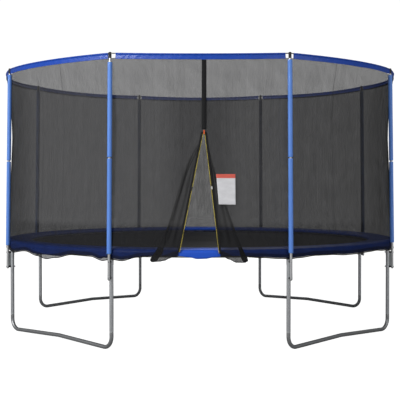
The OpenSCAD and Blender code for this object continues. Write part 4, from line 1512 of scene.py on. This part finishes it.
@dataclass
class Bed:
    """Mat, rim band, springs and the padded cover over the springs."""

    group: int = 4
    turns: int = 44
    hook_arc: float = 205.0
    loop: tuple[float, float, float] = (0.026, 0.030, 0.0016)
    puff: float = 0.010
    edge_drop: tuple[float, float] = (0.012, 0.010)
    edge_run: float = 14.0
    seam_depth: float = 0.45
    seam_deg: float = 0.28
    bulge: tuple[float, float] = (0.0022, 0.0016)
    tuck: float = 0.0022
    tuck_run: float = 0.12
    skirt_lift: float = 0.007
    skirt_wave: float = 0.008
    # Azimuth and height of the skirt's lower edge at the door.
    skirt_front: Table = (
        (-24.6, 0.848), (-22.5, 0.846), (-21.0, 0.841), (-19.5, 0.834), (-17.5, 0.846),
        (-15.3, 0.868), (-12.4, 0.877), (-5.0, 0.877), (-2.6, 0.866), (-0.6, 0.851),
        (1.2, 0.853), (3.6, 0.867), (6.0, 0.877), (11.5, 0.876), (14.0, 0.867))

    def mat(self) -> None:
        """Woven mat, drawn tight with a slight sag in the middle."""
        r = PLAN.rim_r - PLAN.rim_w / 2 - 0.0002
        rings, around, centre_sag = 40, 192, 0.010

        def place(u: float, v: float) -> Vector:
            sag = centre_sag * (1 - v**2)
            return spot(360 * u, max(1e-6, v * r), PLAN.coil_z + 0.001 - sag)

        obj = Bench.sheet("jump_mat_cloth", around, rings, (1, 1), place)
        Bench.close(obj)
        layer = obj.data.uv_layers[0].data
        for loop in obj.data.loops:
            co = obj.data.vertices[loop.vertex_index].co
            layer[loop.index].uv = (co.x, co.y)
        Bench.modifier(obj, "SOLIDIFY", thickness=0.002, offset=-1.0)
        Bench.settle(obj, MAT, "bed", "mat_fabric", "jump_mat")

    def rim(self) -> None:
        """Webbing sewn over the mat's edge."""
        out, inn, t = PLAN.rim_r, PLAN.rim_r - PLAN.rim_w, PLAN.rim_t
        z = PLAN.coil_z
        upper = [(inn, 0.0012), (inn + 0.001, t / 2 - 0.0006), (lerp(inn, out, 0.3), t / 2),
                 (lerp(inn, out, 0.7), t / 2), (out - 0.001, t / 2 - 0.0006)]
        outline = ([(r, z + h) for r, h in upper] + [(out, z)]
                   + [(r, z - h) for r, h in reversed(upper)] + [(inn, z + upper[0][1])])

        def place(u: float, v: float) -> Vector:
            r, height = section(outline, v)
            return spot(360 * u, r, height)

        obj = Bench.sheet("mat_rim_webbing", 384, len(outline) - 1, (12.0, 0.11), place)
        Bench.close(obj)
        Bench.settle(obj, RIM_WEBBING, "bed", "webbing", "mat_rim_band")

    def loops(self) -> None:
        """Webbing loops that hold the rings on the rim band."""
        model = Bench.block("ring_loops", self.loop,
                            (0, -PLAN.rim_r + 0.016, PLAN.coil_z + PLAN.rim_t / 2 + 0.0006),
                            0.0005)
        count = 8 * PLAN.springs_per_side
        obj = Bench.copies(model, [
            Matrix.Rotation(2 * math.pi * (k + 0.5) / count, 4, "Z") for k in range(count)],
            "ring_loops")
        Bench.settle(obj, BLACK_WEBBING, "bed", "webbing")

    def spring(self) -> bpy.types.Object:
        """Close-wound coil with a round hook at each end, on azimuth 0."""
        pitch = (PLAN.coil_out_r - PLAN.coil_in_r) / self.turns
        Bench.take()
        bpy.ops.mesh.primitive_circle_add(
            vertices=6, radius=PLAN.wire_r, fill_type="NOTHING",
            location=(PLAN.coil_r - PLAN.wire_r, 0, 0), rotation=(math.pi / 2, 0, 0))
        bpy.ops.object.transform_apply(location=True, rotation=True, scale=True)
        obj = bpy.context.object
        Bench.modifier(obj, "SCREW", steps=9, render_steps=9, angle=2 * math.pi,
                       screw_offset=pitch, iterations=self.turns)
        Bench.close(obj, caps=True)
        obj.data.transform(Matrix.Translation((0, -PLAN.coil_out_r, PLAN.coil_z))
                           @ Matrix.Rotation(math.radians(-90), 4, "X"))
        parts = [obj]
        for centre, start in ((PLAN.slot_r - PLAN.hook_r, 90.0),
                              (PLAN.ring_hook_r + PLAN.hook_r, 65.0)):
            def place(u: float, v: float, centre: float = centre,
                      start: float = start) -> Vector:
                turn = math.radians(lerp(start, start + self.hook_arc, u))
                a = v * 2 * math.pi
                r = PLAN.hook_r + PLAN.wire_r * math.cos(a)
                return Vector((PLAN.wire_r * math.sin(a), -centre + r * math.sin(turn),
                               PLAN.hook_z - r * math.cos(turn)))
            hook = Bench.sheet("hook", 12, 6, (0.03, 0.01), place)
            parts.append(Bench.close(hook, caps=True))
        spring = Bench.join(parts, "spring")
        bpy.ops.object.shade_smooth_by_angle(angle=math.radians(50))
        return spring

    def springs(self) -> None:
        """Copies the spring round the bed in groups that stretch with the mat."""
        model = self.spring()
        count = 8 * PLAN.springs_per_side
        step = 360 / count
        groups = count // self.group
        for g in range(groups):
            places = [Matrix.Rotation(math.radians(step * (g * self.group + k + 0.5)), 4, "Z")
                      for k in range(self.group)]
            obj = Bench.copies(Bench.twin(model), places, f"springs_{g + 1:02d}")
            mid = step * (g + 0.5) * self.group
            Bench.settle(obj, SPRING_ZINC, "", "spring_steel", "springs")
            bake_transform(obj, "frame", "bed", start=spot(mid, PLAN.slot_r - 0.008, PLAN.coil_z),
                     end=spot(mid, PLAN.ring_hook_r + 0.004, PLAN.coil_z))
        bpy.data.objects.remove(model)

    def skirt_z(self, az: float) -> float:
        """Height of the skirt's wavy lower edge."""
        turned = wrapped(az)
        if self.skirt_front[0][0] <= turned <= self.skirt_front[-1][0]:
            return table_value(self.skirt_front, turned)
        wavy = PLAN.skirt_z - 0.006 + self.skirt_wave * wander(az * 0.25, 6.6)
        return max(hem_z(az) + self.skirt_lift, wavy)

    def pad(self) -> None:
        """Crowned pad with a soft skirt that follows the net's hem."""
        inn, out = PLAN.pad_in_r, PLAN.pad_r
        bottom, t, crown = PLAN.pad_bottom_z, PLAN.pad_t, PLAN.pad_crown
        width = out - inn
        top = [(inn + width * s, bottom + t + self.puff + (crown + self.puff)
                * (1 - (2 * s - 1) ** 2)
                - self.edge_drop[0] * (1 - min(1, self.edge_run * s)) ** 2
                - self.edge_drop[1] * (1 - min(1, self.edge_run * (1 - s))) ** 2)
               for s in (0.0, 0.02, 0.06, 0.14, 0.24, 0.36, 0.5, 0.64, 0.76, 0.86, 0.94, 0.98)]
        skirt_out, skirt_in = PLAN.skirt_in_r + PLAN.skirt_t, PLAN.skirt_in_r
        skirt_rows = (-1.0, -2.0, -3.0)
        outer = ([(skirt_out, bottom + t * 0.7), (skirt_out, bottom)]
                 + [(skirt_out, row) for row in skirt_rows]
                 + [(skirt_in, row) for row in reversed(skirt_rows)])
        under = [(skirt_in - 0.0005, bottom + 0.0002)] + [
            (inn + width * s, bottom) for s in (0.9, 0.7, 0.5, 0.3, 0.1, 0.03)]
        inner = [(inn, bottom + t * 0.3)]
        outline = inner + top + outer + under + inner
        cushion_r = skirt_in - 0.0008

        def place(u: float, v: float) -> Vector:
            r, z = section(outline, v)
            az = 360 * u
            if z < 0:
                z = lerp(bottom, self.skirt_z(az), z / skirt_rows[-1])
            elif z > bottom + 0.001 and r < cushion_r:
                seam = 1 - self.seam_depth * bell((HALF_BAY - abs(bay_rel(az))) / self.seam_deg)
                bulge = (self.bulge[0] * wander(az * 0.5, r * 9)
                         + self.bulge[1] * wander(az * 2.6, r * 22))
                share = (r - inn) / width
                edge = bell(share / self.tuck_run) + bell((1 - share) / self.tuck_run)
                tuck = self.tuck * edge * wander(az * 4.2, r * 4, 8)
                z = bottom + (z - bottom) * seam + (bulge + tuck) * ease(0, 0.006, z - bottom)
            return spot(az, r, z)

        obj = Bench.sheet("spring_pad_cover", 720, len(outline) - 1,
                          (2 * math.pi * 2.01, 0.66), place)
        Bench.close(obj)
        Bench.settle(obj, LIT_PAD_CLOTH, "frame", "blue_cover", "spring_pad")

    def build(self) -> None:
        """Models every part of the bed."""
        self.mat()
        self.rim()
        self.loops()
        self.springs()
        self.pad()


# ---- Studio ----


@dataclass
class Studio:
    """Camera, pale floor and soft light."""

    lens: float = 80.25
    sensor: float = 36.0
    eye: tuple[float, float, float] = (0.0, -10.088, 1.5206)
    tilt: float = 88.98
    floor_size: float = 60.0
    floor_glow: float = 0.98
    white: float = 1.05
    level: float = 0.30
    back_fall: float = 0.22
    right_fall: float = 0.06

    def camera(self) -> None:
        """Places the camera."""
        data = bpy.data.cameras.new("camera")
        data.lens, data.sensor_width = self.lens, self.sensor
        obj = bpy.data.objects.new("camera", data)
        obj.location = self.eye
        obj.rotation_euler = (math.radians(self.tilt), 0, 0)
        bpy.context.scene.collection.objects.link(obj)
        bpy.context.scene.camera = obj

    def floor(self) -> None:
        """Lays a pale floor."""
        Bench.take()
        bpy.ops.mesh.primitive_plane_add(size=self.floor_size)
        obj = bpy.context.object
        obj.name = "studio_floor"
        material = bpy.data.materials.new("studio_floor")
        material.use_nodes = True
        g = Graph(material.node_tree)
        seen = g.node("ShaderNodeLightPath", output="Is Camera Ray")
        pale = g.node("ShaderNodeBsdfPrincipled", inputs={
            "Base Color": (0.3, 0.3, 0.3), "Roughness": 0.9,
            "Emission Color": (1.0, 1.0, 1.0), "Emission Strength": self.floor_glow})
        dim = g.node("ShaderNodeBsdfDiffuse", inputs={"Color": (0.35, 0.35, 0.35)})
        g.node("ShaderNodeOutputMaterial", inputs={
            "Surface": g.node("ShaderNodeMixShader", inputs={0: seen, 1: dim, 2: pale})})
        obj.data.materials.append(material)

    def world(self) -> None:
        """Lights the room evenly and shows it white."""
        made = bpy.data.worlds.new("studio")
        bpy.context.scene.world = made
        made.use_nodes = True
        g = Graph(made.node_tree)
        seen = g.node("ShaderNodeLightPath", output="Is Camera Ray")
        right, back = g.parts(g.node("ShaderNodeTexCoord", output="Generated"), 2)
        level = self.level - self.back_fall * back - self.right_fall * right
        strength = seen * self.white + (1 - seen) * level
        shader = g.node("ShaderNodeBackground", inputs={
            "Color": (1.0, 1.0, 1.0), "Strength": strength})
        g.node("ShaderNodeOutputWorld", inputs={"Surface": shader})

    def lamp(self, name: str, place: Sequence[float], size: float, power: float) -> None:
        """Adds a square area light that faces the object."""
        data = bpy.data.lights.new(name, "AREA")
        data.size, data.energy = size, power
        obj = bpy.data.objects.new(name, data)
        obj.location = place
        aim = Vector((0, 0, 1.4)) - Vector(place)
        obj.rotation_euler = aim.to_track_quat("-Z", "Y").to_euler()
        bpy.context.scene.collection.objects.link(obj)

    def build(self) -> None:
        """Sets up the room."""
        bpy.context.scene.view_settings.view_transform = "Standard"
        self.floor()
        self.world()
        for name, place, size, power in (("key", (-6.5, -7.5, 5.0), 3.0, 480.0),
                                         ("fill", (6.0, -6.0, 3.0), 4.0, 70.0),
                                         ("back", (2.0, 8.0, 5.0), 5.0, 120.0)):
            self.lamp(name, place, size, power)


def main() -> None:
    """Builds the room, the finishes and every soft piece."""
    logging.basicConfig(level=logging.INFO, format="%(name)s %(message)s")
    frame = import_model()
    studio = Studio()
    studio.camera()
    Ironwork(frame).dress()
    Posts().build()
    RingBands().build()
    Net().build()
    Door().build()
    Bed().build()
    studio.build()


if __name__ == "__main__":
    main()
